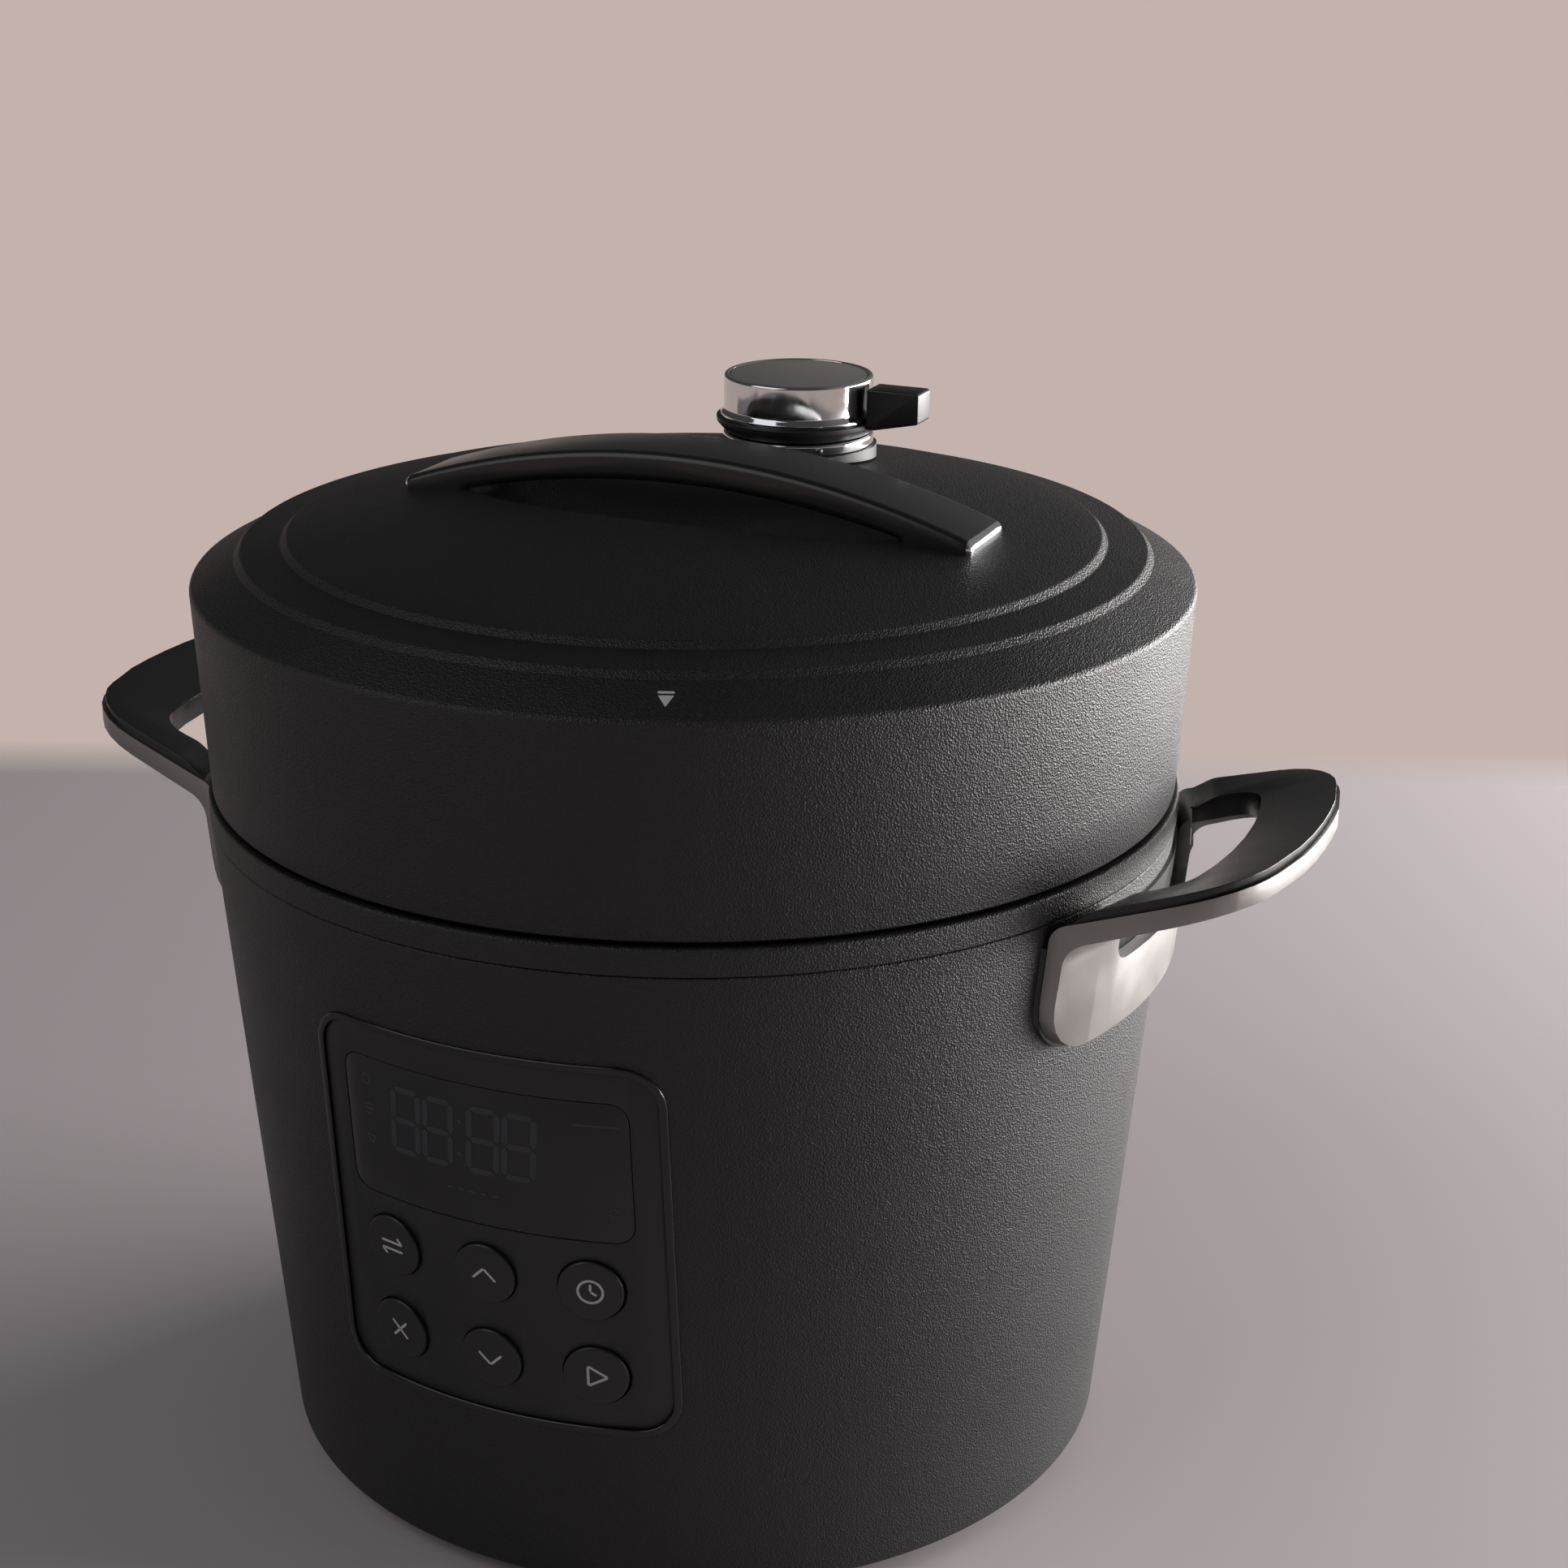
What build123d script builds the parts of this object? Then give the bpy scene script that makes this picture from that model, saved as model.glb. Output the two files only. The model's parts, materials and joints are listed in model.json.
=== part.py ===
from build123d import *
import os
from math import asin, atan, cos, radians, sin, sqrt

os.makedirs("parts", exist_ok=True)

# A two litre electric pressure cooker. Millimetres, +Z up, front panel towards -Y,
# side handles on +X and -X, origin at the middle of the face that the feet stand on.

# ---------------------------------------------------------------- driving sizes
BODY_R = 108.3           # housing radius at its top edge
BODY_H = 151.4           # height of the housing's top edge
BODY_TAPER = 0.085       # radius lost per millimetre going down
BODY_WALL = 2.6
BODY_FOOT_Z = 4.0        # bottom edge of the housing
BAND_H = 6.1             # moulded band above the housing
LID_GAP = 1.0            # shadow gap between band and lid skirt
SKIRT_H = 45.5           # depth of the lid's skirt
SKIRT_INSET = 0.7        # skirt foot inside the housing's top radius
SKIRT_FLARE = 2.4        # how much wider the skirt is at its rim
LID_WALL = 2.5
DOME_RISE = 16.0         # middle of the lid above its rim
STEP1_IN = 10.5          # first raised ring, inwards from the rim
STEP1_RISE = 6.8
STEP2_IN = 20.5          # second raised ring, inwards from the rim
STEP2_RISE = 9.6
STEP_H = 1.5             # height of each rounded step

POT_TO_BODY = 30.3       # from the housing radius in to the inner pot's outside
POT_WALL = 1.8
POT_GAP = 2.0            # between inner pot and outer pot
SHEET = 1.2              # outer pot sheet
BASE_ROOM = 38.0         # height of the bay under the outer pot
COLLAR_RISE = 19.4       # top of the collar above the housing
COLLAR_IN = 7.3          # outside of the collar, inwards from the housing radius
COLLAR_WIDE = 5.0        # collar beyond the lid plate
RING_H = 12.0            # lock ring height
LUG_COUNT = 6
LUG_SPAN = 26.0          # degrees
LUG_T = 3.0
LUG_DROP = 5.0           # lid lugs below the pot lugs, top face to top face
MOVE_GAP = 0.3           # between parts that move past each other
FIT_GAP = 0.1            # between parts that are fixed together

HANDLE_W = 21.0          # lid handle
HANDLE_IN = 21.5         # end of the handle, inwards from the second raised ring
HANDLE_FOOT = 16.0       # length of each end that rests on the dome
HANDLE_TOP = 26.5        # top of the arch above the rim
HANDLE_T = 6.6
TRIM_T = 1.2
SCOOP_IN = 10.0          # end of the finger recess, inwards from the handle's end
SCOOP_B = 24.0           # half width of the finger recess
SCOOP_DEPTH = 9.0

VALVE_IN = 32.5          # valve's axis, inwards from the second raised ring
VALVE_R = 17.6
VALVE_TOP = 32.0         # top of the cap above the rim
CAP_H = 9.8
LEVER_REACH = 31.5
FLOAT_X = 24.0           # float pin to the right of the valve's axis
FLOAT_IN = 23.0          # and in front of it

GRIP_REACH = 35.7        # side handle beyond the housing radius
PLATE_HALF = 44.0        # mounting plate, half width
PLATE_DROP = 29.8        # plate's lower edge below the housing top
PLATE_T = 2.8
PLATE_CORNER = 12.0
PAD_T = 0.9              # backing pad
PAD_RIM = 0.8            # pad showing round the plate
LOOP_T = 4.0             # steel loop thickness
LOOP_BASE_DROP = 0.4     # top of the loop at the plate, below the housing top
LOOP_RISE = 13.0         # rise of the loop from plate to outer edge
LOOP_HALF = 40.0         # half width of the loop at its outer edge
LOOP_ARM = 11.5          # width of each arm
LOOP_BULGE = 6.0         # how far the outer edge bows out
LOOP_CORNER = 20.0
GRIP_W = 17.0            # width of the black grip at the outer edge
GRIP_CROWN = 2.2         # black grip above the steel
GRIP_FOOT = 3.5          # where the grip starts, outwards from the housing radius
GRIP_INSET = 0.8         # steel showing round the black grip
GRIP_LINING = 1.6        # black lining of the finger opening
SLOT_HALF = 26.0         # opening in the plate under the loop
SLOT_DROP = 9.5
BOLT_Y = 33.0            # side handle screws, from the middle of the plate
BOLT_DROP = 23.0         # and below the housing top

PANEL_W = 80.0
PANEL_H = 88.0
PANEL_TOP_DROP = 19.9    # panel's upper edge below the housing top
BEZEL_W = 1.7
BEZEL_PROUD = 0.5
FASCIA_T = 2.4
WINDOW_W = 65.0
WINDOW_H = 32.5
WINDOW_DROP = 8.5        # window's upper edge below the panel's
BUTTON_R = 7.0
BUTTON_PITCH_X = 23.0
BUTTON_PITCH_Z = 20.7
BUTTON_DROP = 52.8       # first row below the panel's upper edge
BUTTON_TRAVEL = 0.6
BOARD_IN = 21.3          # control board's front face inside the housing radius
BOARD_T = 1.6
PANEL_CORNER = 9.0
WINDOW_CORNER = 4.0

COVER_T = 3.0            # bottom cover
SCREW_R = 1.7            # self-tapping screws
BOSS_R = 4.5
FOOT_IN = 17.0           # rubber feet, inwards from the bottom cover's edge
FOOT_R = 8.0
POSTS_X = 46.0           # power board posts
POSTS_Y = 32.0
BOARD_UNDER = 22.0       # power board below the outer pot
INLET_W = 34.0
INLET_H = 28.0
INLET_UNDER = 9.0        # middle of the mains inlet below the outer pot
INLET_FLANGE = 6.0
INLET_BACK = 10.0
INLET_RECESS = 12.0

# ---------------------------------------------------------------- sizes that follow
SKIRT_Z = BODY_H + BAND_H + LID_GAP
RIM_Z = SKIRT_Z + SKIRT_H
SKIRT_R = BODY_R - SKIRT_INSET
RIM_R = SKIRT_R + SKIRT_FLARE
STEP1_R = RIM_R - STEP1_IN
STEP2_R = RIM_R - STEP2_IN
POT_R = BODY_R - POT_TO_BODY
LINER_R = POT_R + POT_GAP
COLLAR_Z = BODY_H + COLLAR_RISE
LINER_TOP = COLLAR_Z + SHEET
RING_TOP = LINER_TOP + RING_H
RING_R = LINER_R + 4.0
COLLAR_R = BODY_R - COLLAR_IN
PLATE_R = COLLAR_R - COLLAR_WIDE
LUG_R = PLATE_R - 3.0
POT_TOP = RING_TOP + MOVE_GAP + 1.5
SEAL_Z = POT_TOP + MOVE_GAP
SEAL_H = 5.6
LID_PLATE_Z = SEAL_Z + SEAL_H + MOVE_GAP
LID_PLATE_T = 1.5
HEATER_TOP = BASE_ROOM + 19.9
PANEL_Z = BODY_H - PANEL_TOP_DROP - PANEL_H / 2
WINDOW_Z = BODY_H - PANEL_TOP_DROP - WINDOW_DROP - WINDOW_H / 2
BUTTON_Z = BODY_H - PANEL_TOP_DROP - BUTTON_DROP
BOARD_Y = BODY_R - BOARD_IN
INLET_Z = BASE_ROOM - INLET_UNDER
BOARD_Z = BASE_ROOM - BOARD_UNDER
COVER_Z = BODY_FOOT_Z
VALVE_Y = STEP2_R - VALVE_IN
FLOAT_Y = VALVE_Y - FLOAT_IN
HANDLE_HALF = STEP2_R - HANDLE_IN
HANDLE_FREE = HANDLE_HALF - HANDLE_FOOT
SCOOP_A = HANDLE_HALF - SCOOP_IN
ELEMENT_R = POT_R - 22.0
BOLT_Z = BODY_H - BOLT_DROP
GRIP_R = BODY_R + GRIP_REACH
LOOP_Z = BODY_H - LOOP_BASE_DROP
PLATE_Z = BODY_H - PLATE_DROP


def body_r(z):
    """Outer radius of the tapered housing at height z."""
    return BODY_R - BODY_TAPER * (BODY_H - z)


def dome_z(r):
    """Height of the lid's dome at radius r."""
    return RIM_Z + DOME_RISE - (DOME_RISE - STEP2_RISE) * (r / STEP2_R) ** 2


def save(part, name):
    """Labels a finished piece and writes it under its own name."""
    part.label = name
    export_step(part, f"parts/{name}.step")


def upright(x, y):
    """Section plane through the upright line at (x, y): local x is radius, local y is height."""
    return Plane(origin=(x, y, 0), x_dir=(1, 0, 0), z_dir=(0, -1, 0))


def turned(outline, x=0.0, y=0.0):
    """Solid turned about the upright line at (x, y) from a closed (radius, height) outline."""
    with BuildPart() as body:
        with BuildSketch(upright(x, y)):
            with BuildLine():
                Polyline(*outline, close=True)
            make_face()
        revolve(axis=Axis((x, y, 0), (0, 0, 1)))
    return body.part


def tube(r_out, r_in, z0, z1, x=0.0, y=0.0):
    """Upright ring."""
    return turned([(r_in, z0), (r_out, z0), (r_out, z1), (r_in, z1)], x, y)


def corners(profile, *places):
    """Corners of a sketch nearest to the given places."""
    return [profile.vertices().sort_by_distance((px, py, 0))[0] for px, py in places]


def wall_band(outside, inside, z0, z1):
    """Ring that follows the tapered housing, between two offsets from its outer surface."""
    return turned([
        (body_r(z0) + inside, z0),
        (body_r(z0) + outside, z0),
        (body_r(z1) + outside, z1),
        (body_r(z1) + inside, z1),
    ])


def front_block(width, height, radius, z):
    """Rounded block that runs out of the front at height z, to cut curved panels with."""
    with BuildPart() as block:
        with BuildSketch(Plane.XZ):
            with Locations((0, z)):
                RectangleRounded(width, height, radius)
        extrude(amount=1.5 * BODY_R)
    return block.part


def lugs(r_in, r_out, z0, z1, first):
    """Ring of bayonet lugs, the first centred on the angle given in degrees."""
    with BuildPart() as ring:
        for i in range(LUG_COUNT):
            start = radians(first - LUG_SPAN / 2 + i * 360 / LUG_COUNT)
            section = Plane(origin=(0, 0, 0), x_dir=(cos(start), sin(start), 0),
                            z_dir=(sin(start), -cos(start), 0))
            with BuildSketch(section) as lug:
                with Locations(((r_in + r_out) / 2, (z0 + z1) / 2)):
                    Rectangle(r_out - r_in, z1 - z0)
            revolve(lug.sketch, axis=Axis.Z, revolution_arc=LUG_SPAN)
    return ring.part


# ---------------------------------------------------------------- housing
BOSS_RING = body_r(BODY_FOOT_Z) - BODY_WALL - 3.9


def bolt_start():
    """How far out from the middle the side handle screws have their heads."""
    return sqrt((body_r(BOLT_Z) - BODY_WALL) ** 2 - BOLT_Y ** 2) - 3.0


def handle_bolt_shanks(radius):
    """Round bars where the four side handle screws run, through the housing wall and the pad."""
    with BuildPart() as bars:
        for side in (1, -1):
            for y in (BOLT_Y, -BOLT_Y):
                with BuildSketch(Plane.YZ.offset(side * bolt_start())):
                    with Locations((y, BOLT_Z)):
                        Circle(radius)
                extrude(amount=side * (3.0 + BODY_WALL + PAD_T + 2.4))
    return bars.part


def make_housing():
    """Tapered shell with screw bosses and its openings."""
    shell = wall_band(0, -BODY_WALL, BODY_FOOT_Z, BODY_H)
    front_cutout = front_block(PANEL_W, PANEL_H, PANEL_CORNER, PANEL_Z)
    with BuildPart() as housing:
        add(shell)
        bottom = housing.edges().filter_by(GeomType.CIRCLE).sort_by(Axis.Z)[:2].sort_by(SortBy.RADIUS)[-1]
        fillet(bottom, 1.6)
        with BuildSketch(Plane.XY.offset(COVER_Z + COVER_T)):
            with PolarLocations(BOSS_RING, 4, start_angle=45):
                Circle(BOSS_R)
        extrude(amount=22)
        add(front_cutout, mode=Mode.SUBTRACT)
        with BuildSketch(Plane.XZ):
            with Locations((0, INLET_Z)):
                Rectangle(INLET_W + 2 * FIT_GAP, INLET_H + 2 * FIT_GAP)
        extrude(amount=-1.5 * BODY_R, mode=Mode.SUBTRACT)
        with BuildSketch(Plane.XY.offset(COVER_Z + COVER_T)):
            with PolarLocations(BOSS_RING, 4, start_angle=45):
                Circle(SCREW_R)
        extrude(amount=12, mode=Mode.SUBTRACT)
        add(handle_bolt_shanks(SCREW_R + FIT_GAP), mode=Mode.SUBTRACT)
    save(housing.part, "body_housing")


make_housing()

# band above the housing, with the collar that stands up inside the lid's skirt
with BuildPart() as upper_collar:
    with BuildSketch(upright(0, 0)) as section:
        with BuildLine():
            Polyline(
                (PLATE_R - 2, COLLAR_Z - 3),
                (PLATE_R - 2, COLLAR_Z),
                (COLLAR_R, COLLAR_Z),
                (COLLAR_R, BODY_H + BAND_H - 2),
                (COLLAR_R + 1, BODY_H + BAND_H - 3),
                (BODY_R - 3, BODY_H + BAND_H - 1),
                (BODY_R - 1.6, BODY_H + BAND_H),
                (BODY_R + 0.2, BODY_H + BAND_H),
                (BODY_R + 0.2, BODY_H + 0.4),
                (BODY_R - 0.6, BODY_H),
                (BODY_R - BODY_WALL - FIT_GAP, BODY_H),
                (body_r(BODY_H - 4) - BODY_WALL - FIT_GAP, BODY_H - 4),
                (BODY_R - BODY_WALL - 2.6, BODY_H - 4),
                (BODY_R - BODY_WALL - 2.6, BODY_H + 1),
                (COLLAR_R - 2.5, BODY_H + 2),
                (COLLAR_R - 2.5, COLLAR_Z - 3),
                close=True,
            )
        make_face()
        fillet(corners(section, (BODY_R + 0.2, BODY_H + BAND_H)), 0.7)
    revolve(axis=Axis.Z)
save(upper_collar.part, "upper_collar")

# bottom cover with vents, board posts and screw holes
cover_r = body_r(BODY_FOOT_Z) - BODY_WALL - MOVE_GAP
FOOT_RING = cover_r - FOOT_IN
with BuildPart() as bottom_cover:
    with BuildSketch(Plane.XY.offset(COVER_Z)):
        Circle(cover_r)
    extrude(amount=COVER_T)
    with BuildSketch(Plane.XY.offset(COVER_Z + COVER_T)):
        with GridLocations(2 * POSTS_X, 2 * POSTS_Y, 2, 2):
            Circle(4.0)
    extrude(amount=BOARD_Z - COVER_Z - COVER_T)
    with BuildSketch(Plane.XY.offset(COVER_Z)):
        with PolarLocations(FOOT_RING - 24, 24):
            SlotOverall(14, 3)
        with PolarLocations(BOSS_RING, 4, start_angle=45):
            Circle(SCREW_R + 0.5)
        with PolarLocations(FOOT_RING, 4):
            Circle(3.0)
    extrude(amount=COVER_T, mode=Mode.SUBTRACT)
    with BuildSketch(Plane.XY.offset(COVER_Z)):
        with PolarLocations(BOSS_RING, 4, start_angle=45):
            Circle(3.4)
    extrude(amount=1.6, mode=Mode.SUBTRACT)
save(bottom_cover.part, "bottom_cover")

# rubber feet: a pad below the cover, a neck through it and a button above
with BuildPart() as rubber_feet:
    with BuildSketch(Plane.XY):
        with PolarLocations(FOOT_RING, 4):
            Circle(FOOT_R)
    extrude(amount=COVER_Z)
    chamfer(rubber_feet.edges().filter_by(GeomType.CIRCLE).group_by(Axis.Z)[0], 0.8)
    with BuildSketch(Plane.XY.offset(COVER_Z)):
        with PolarLocations(FOOT_RING, 4):
            Circle(3.0 - FIT_GAP)
    extrude(amount=COVER_T)
    with BuildSketch(Plane.XY.offset(COVER_Z + COVER_T)):
        with PolarLocations(FOOT_RING, 4):
            Circle(4.2)
    extrude(amount=1.6, taper=20)
save(rubber_feet.part, "rubber_feet")

with BuildPart() as base_screws:
    with BuildSketch(Plane.XY.offset(COVER_Z)):
        with PolarLocations(BOSS_RING, 4, start_angle=45):
            Circle(3.2)
    extrude(amount=1.6)
    with BuildSketch(Plane.XY.offset(COVER_Z + 1.6)):
        with PolarLocations(BOSS_RING, 4, start_angle=45):
            Circle(SCREW_R - 0.05)
    extrude(amount=12)
    with BuildSketch(Plane.XY.offset(COVER_Z)):
        with PolarLocations(BOSS_RING, 4, start_angle=45):
            Rectangle(3.6, 0.8)
            Rectangle(0.8, 3.6)
    extrude(amount=0.9, mode=Mode.SUBTRACT)
save(base_screws.part, "base_screws")

# ---------------------------------------------------------------- outer pot and lock ring
with BuildPart() as outer_pot:
    with BuildSketch(upright(0, 0)) as section:
        with BuildLine():
            Polyline(
                (7.2, BASE_ROOM),
                (LINER_R + SHEET, BASE_ROOM),
                (LINER_R + SHEET, COLLAR_Z),
                (PLATE_R + 1, COLLAR_Z),
                (PLATE_R + 1, LINER_TOP),
                (LINER_R, LINER_TOP),
                (LINER_R, BASE_ROOM + SHEET),
                (7.2, BASE_ROOM + SHEET),
                close=True,
            )
        make_face()
        fillet(corners(section, (LINER_R + SHEET, BASE_ROOM)), 6.0 + SHEET)
        fillet(corners(section, (LINER_R, BASE_ROOM + SHEET)), 6.0)
    revolve(axis=Axis.Z)
save(outer_pot.part, "outer_pot")

ring_blank = turned([
    (LINER_R + 2, LINER_TOP),
    (PLATE_R - 1, LINER_TOP),
    (PLATE_R - 1, LINER_TOP + 1.5),
    (RING_R + 2.5, LINER_TOP + 1.5),
    (RING_R + 2.5, RING_TOP),
    (RING_R, RING_TOP),
    (RING_R, LINER_TOP + 1.5),
    (LINER_R + 2, LINER_TOP + 1.5),
])
ring_lugs = lugs(RING_R + 2.0, LUG_R, RING_TOP - LUG_T, RING_TOP, 0)
RING_SCREWS = PLATE_R - 4.0
with BuildPart() as lock_ring:
    add(ring_blank)
    add(ring_lugs)
    with BuildSketch(Plane.XY.offset(LINER_TOP)):
        with PolarLocations(RING_SCREWS, 6, start_angle=30):
            Circle(1.6)
    extrude(amount=1.5, mode=Mode.SUBTRACT)
save(lock_ring.part, "lock_ring")

with BuildPart() as ring_screws:
    with BuildSketch(Plane.XY.offset(LINER_TOP)):
        with PolarLocations(RING_SCREWS, 6, start_angle=30):
            Circle(1.5)
    extrude(amount=1.5)
    with BuildSketch(Plane.XY.offset(LINER_TOP + 1.5)):
        with PolarLocations(RING_SCREWS, 6, start_angle=30):
            Circle(2.8)
    extrude(amount=1.4, taper=15)
save(ring_screws.part, "ring_screws")

# ---------------------------------------------------------------- inner pot
POT_BASE = HEATER_TOP + FIT_GAP
with BuildPart() as inner_pot:
    with BuildSketch(upright(0, 0)) as section:
        with BuildLine():
            Polyline(
                (0, POT_BASE),
                (POT_R, POT_BASE),
                (POT_R, POT_TOP - 1.5),
                (RING_R + 2, POT_TOP - 1.5),
                (RING_R + 2, POT_TOP),
                (POT_R - POT_WALL, POT_TOP),
                (POT_R - POT_WALL, POT_BASE + 2.4),
                (0, POT_BASE + 2.4),
                close=True,
            )
        make_face()
        fillet(corners(section, (POT_R, POT_BASE)), 12.0)
        fillet(corners(section, (POT_R - POT_WALL, POT_BASE + 2.4)), 10.5)
        fillet(corners(section, (POT_R - POT_WALL, POT_TOP)), 1.4)
    revolve(axis=Axis.Z)
save(inner_pot.part, "inner_pot")

# ---------------------------------------------------------------- heater
ELEMENT_WIRE = 3.4
element_z = BASE_ROOM + 6.5
plate_blank = turned([
    (14.0, HEATER_TOP - 5.9),
    (ELEMENT_R - 7, HEATER_TOP - 5.9),
    (ELEMENT_R - 7, element_z),
    (ELEMENT_R + 7, element_z),
    (ELEMENT_R + 7, HEATER_TOP - 5.9),
    (POT_R - 13, HEATER_TOP - 5.9),
    (POT_R - 13, HEATER_TOP),
    (14.0, HEATER_TOP),
])
with BuildPart() as heating_plate:
    add(plate_blank)
    with BuildSketch(upright(0, 0)):
        with Locations((ELEMENT_R, element_z)):
            Circle(ELEMENT_WIRE + FIT_GAP)
    revolve(axis=Axis.Z, mode=Mode.SUBTRACT)
save(heating_plate.part, "heating_plate")

with BuildPart() as heating_element:
    with BuildSketch(upright(0, 0)):
        with Locations((ELEMENT_R, element_z)):
            Circle(ELEMENT_WIRE)
    revolve(axis=Axis.Z, revolution_arc=330)
save(heating_element.part, "heating_element")

POST_RING = (ELEMENT_R + 7) * 0.5
with BuildPart() as plate_posts:
    with BuildSketch(Plane.XY.offset(BASE_ROOM + SHEET)):
        with PolarLocations(POST_RING, 3, start_angle=90):
            Circle(4.0)
    extrude(amount=HEATER_TOP - 5.9 - BASE_ROOM - SHEET)
save(plate_posts.part, "plate_posts")

# sprung temperature sensor in the middle of the heating plate
SENSOR_R = 12.5
STEM_R = 4.0
SEAT_Z = BASE_ROOM + SHEET
sensor_cap = turned([
    (0, HEATER_TOP - MOVE_GAP),
    (SENSOR_R - 1, HEATER_TOP - MOVE_GAP),
    (SENSOR_R, HEATER_TOP - MOVE_GAP - 1),
    (SENSOR_R, HEATER_TOP - 5.5),
    (STEM_R, HEATER_TOP - 5.5),
    (STEM_R, BASE_ROOM - 14),
    (0, BASE_ROOM - 14),
])
save(sensor_cap, "sensor_cap")

sensor_holder = turned([
    (STEM_R + MOVE_GAP, SEAT_Z + 1.2),
    (13.0, SEAT_Z + 1.2),
    (13.0, SEAT_Z),
    (7.0, SEAT_Z),
    (7.0, BASE_ROOM - 10),
    (STEM_R + MOVE_GAP, BASE_ROOM - 10),
])
save(sensor_holder, "sensor_holder")

SPRING_R = 7.5
SPRING_WIRE = 0.6
spring_z = SEAT_Z + 1.3 + SPRING_WIRE
spring_h = HEATER_TOP - 5.6 - SPRING_WIRE - spring_z
with BuildPart() as sensor_spring:
    with BuildLine() as coil:
        Helix(pitch=spring_h / 4, height=spring_h, radius=SPRING_R, center=(0, 0, spring_z))
    with BuildSketch(Plane(coil.line @ 0, z_dir=coil.line % 0)):
        Circle(SPRING_WIRE)
    sweep()
save(sensor_spring.part, "sensor_spring")

with BuildPart() as thermal_fuse:
    with BuildSketch(Plane.XY.offset(BASE_ROOM)):
        with Locations((38, 0)):
            RectangleRounded(24, 9, 2)
    extrude(amount=-6)
save(thermal_fuse.part, "thermal_fuse")

# ---------------------------------------------------------------- power board and what stands on it
with BuildPart() as power_board:
    with BuildSketch(Plane.XY.offset(BOARD_Z)):
        RectangleRounded(2 * POSTS_X + 14, 2 * POSTS_Y + 14, 3)
        with GridLocations(2 * POSTS_X, 2 * POSTS_Y, 2, 2):
            Circle(1.6, mode=Mode.SUBTRACT)
    extrude(amount=BOARD_T)
save(power_board.part, "power_board")


def board_block(name, x, y, width, depth, height, edge):
    """Moulded component that stands on the power board."""
    with BuildPart() as block:
        with BuildSketch(Plane.XY.offset(BOARD_Z + BOARD_T)):
            with Locations((x, y)):
                RectangleRounded(width, depth, edge)
        extrude(amount=height)
        chamfer(block.edges().group_by(Axis.Z)[-1], 0.6)
    save(block.part, name)


board_block("power_relay", -30, 16, 20, 16, 15, 1.0)
board_block("filter_capacitor", 28, 22, 24, 9, 14, 2.0)
board_block("mains_transformer", -28, -18, 24, 22, 16, 1.5)
board_block("terminal_block", 30, -20, 26, 10, 12, 1.0)

# ---------------------------------------------------------------- mains inlet at the back
INLET_Y = body_r(INLET_Z) + 0.6
PIN_PLACES = ((-7, INLET_Z - 2), (7, INLET_Z - 2), (0, INLET_Z + 2))
with BuildPart() as power_inlet:
    with BuildSketch(Plane.XZ.offset(-INLET_Y)):
        with Locations((0, INLET_Z)):
            RectangleRounded(INLET_W, INLET_H, 3)
    extrude(amount=INLET_FLANGE)
    with BuildSketch(Plane.XZ.offset(INLET_FLANGE - INLET_Y)):
        with Locations((0, INLET_Z)):
            RectangleRounded(INLET_W - 5, INLET_H - 5, 2)
    extrude(amount=INLET_BACK)
    with BuildSketch(Plane.XZ.offset(-INLET_Y)):
        with Locations((0, INLET_Z)):
            RectangleRounded(INLET_W - 9, INLET_H - 10, 3)
    extrude(amount=INLET_RECESS, mode=Mode.SUBTRACT)
    with BuildSketch(Plane.XZ.offset(INLET_RECESS - INLET_Y)):
        with Locations(*PIN_PLACES):
            Rectangle(2.2, 5.2)
    extrude(amount=INLET_FLANGE + INLET_BACK - INLET_RECESS, mode=Mode.SUBTRACT)
    chamfer(power_inlet.edges().group_by(Axis.Y)[-1], 0.5)
save(power_inlet.part, "power_inlet")

with BuildPart() as inlet_pins:
    with BuildSketch(Plane.XZ.offset(INLET_RECESS - 8 - INLET_Y)):
        with Locations(*PIN_PLACES):
            Rectangle(2.0, 5.0)
    extrude(amount=15)
save(inlet_pins.part, "inlet_pins")

# ---------------------------------------------------------------- control panel
PANEL_LOW = PANEL_Z - PANEL_H / 2 - 1
PANEL_HIGH = PANEL_Z + PANEL_H / 2 + 1


def panel_piece(outside, inside, width, height, radius, z):
    """Curved plate that follows the housing, cut to a rounded rectangle."""
    band = wall_band(outside, inside, PANEL_LOW, PANEL_HIGH)
    block = front_block(width, height, radius, z)
    with BuildPart() as piece:
        add(band)
        add(block, mode=Mode.INTERSECT)
    return piece.part


def button_plane(x, z):
    """Plane on the panel's surface at (x, z), its normal pointing out of the front."""
    r = body_r(z)
    turn = asin(x / r)
    tilt = atan(BODY_TAPER)
    normal = (sin(turn) * cos(tilt), -cos(turn) * cos(tilt), -sin(tilt))
    return Plane(origin=(x, -r * cos(turn), z), x_dir=(cos(turn), sin(turn), 0), z_dir=normal)


BUTTONS = {
    "button_mode": (-BUTTON_PITCH_X, BUTTON_Z),
    "button_up": (0.0, BUTTON_Z),
    "button_timer": (BUTTON_PITCH_X, BUTTON_Z),
    "button_cancel": (-BUTTON_PITCH_X, BUTTON_Z - BUTTON_PITCH_Z),
    "button_down": (0.0, BUTTON_Z - BUTTON_PITCH_Z),
    "button_start": (BUTTON_PITCH_X, BUTTON_Z - BUTTON_PITCH_Z),
}

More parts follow.
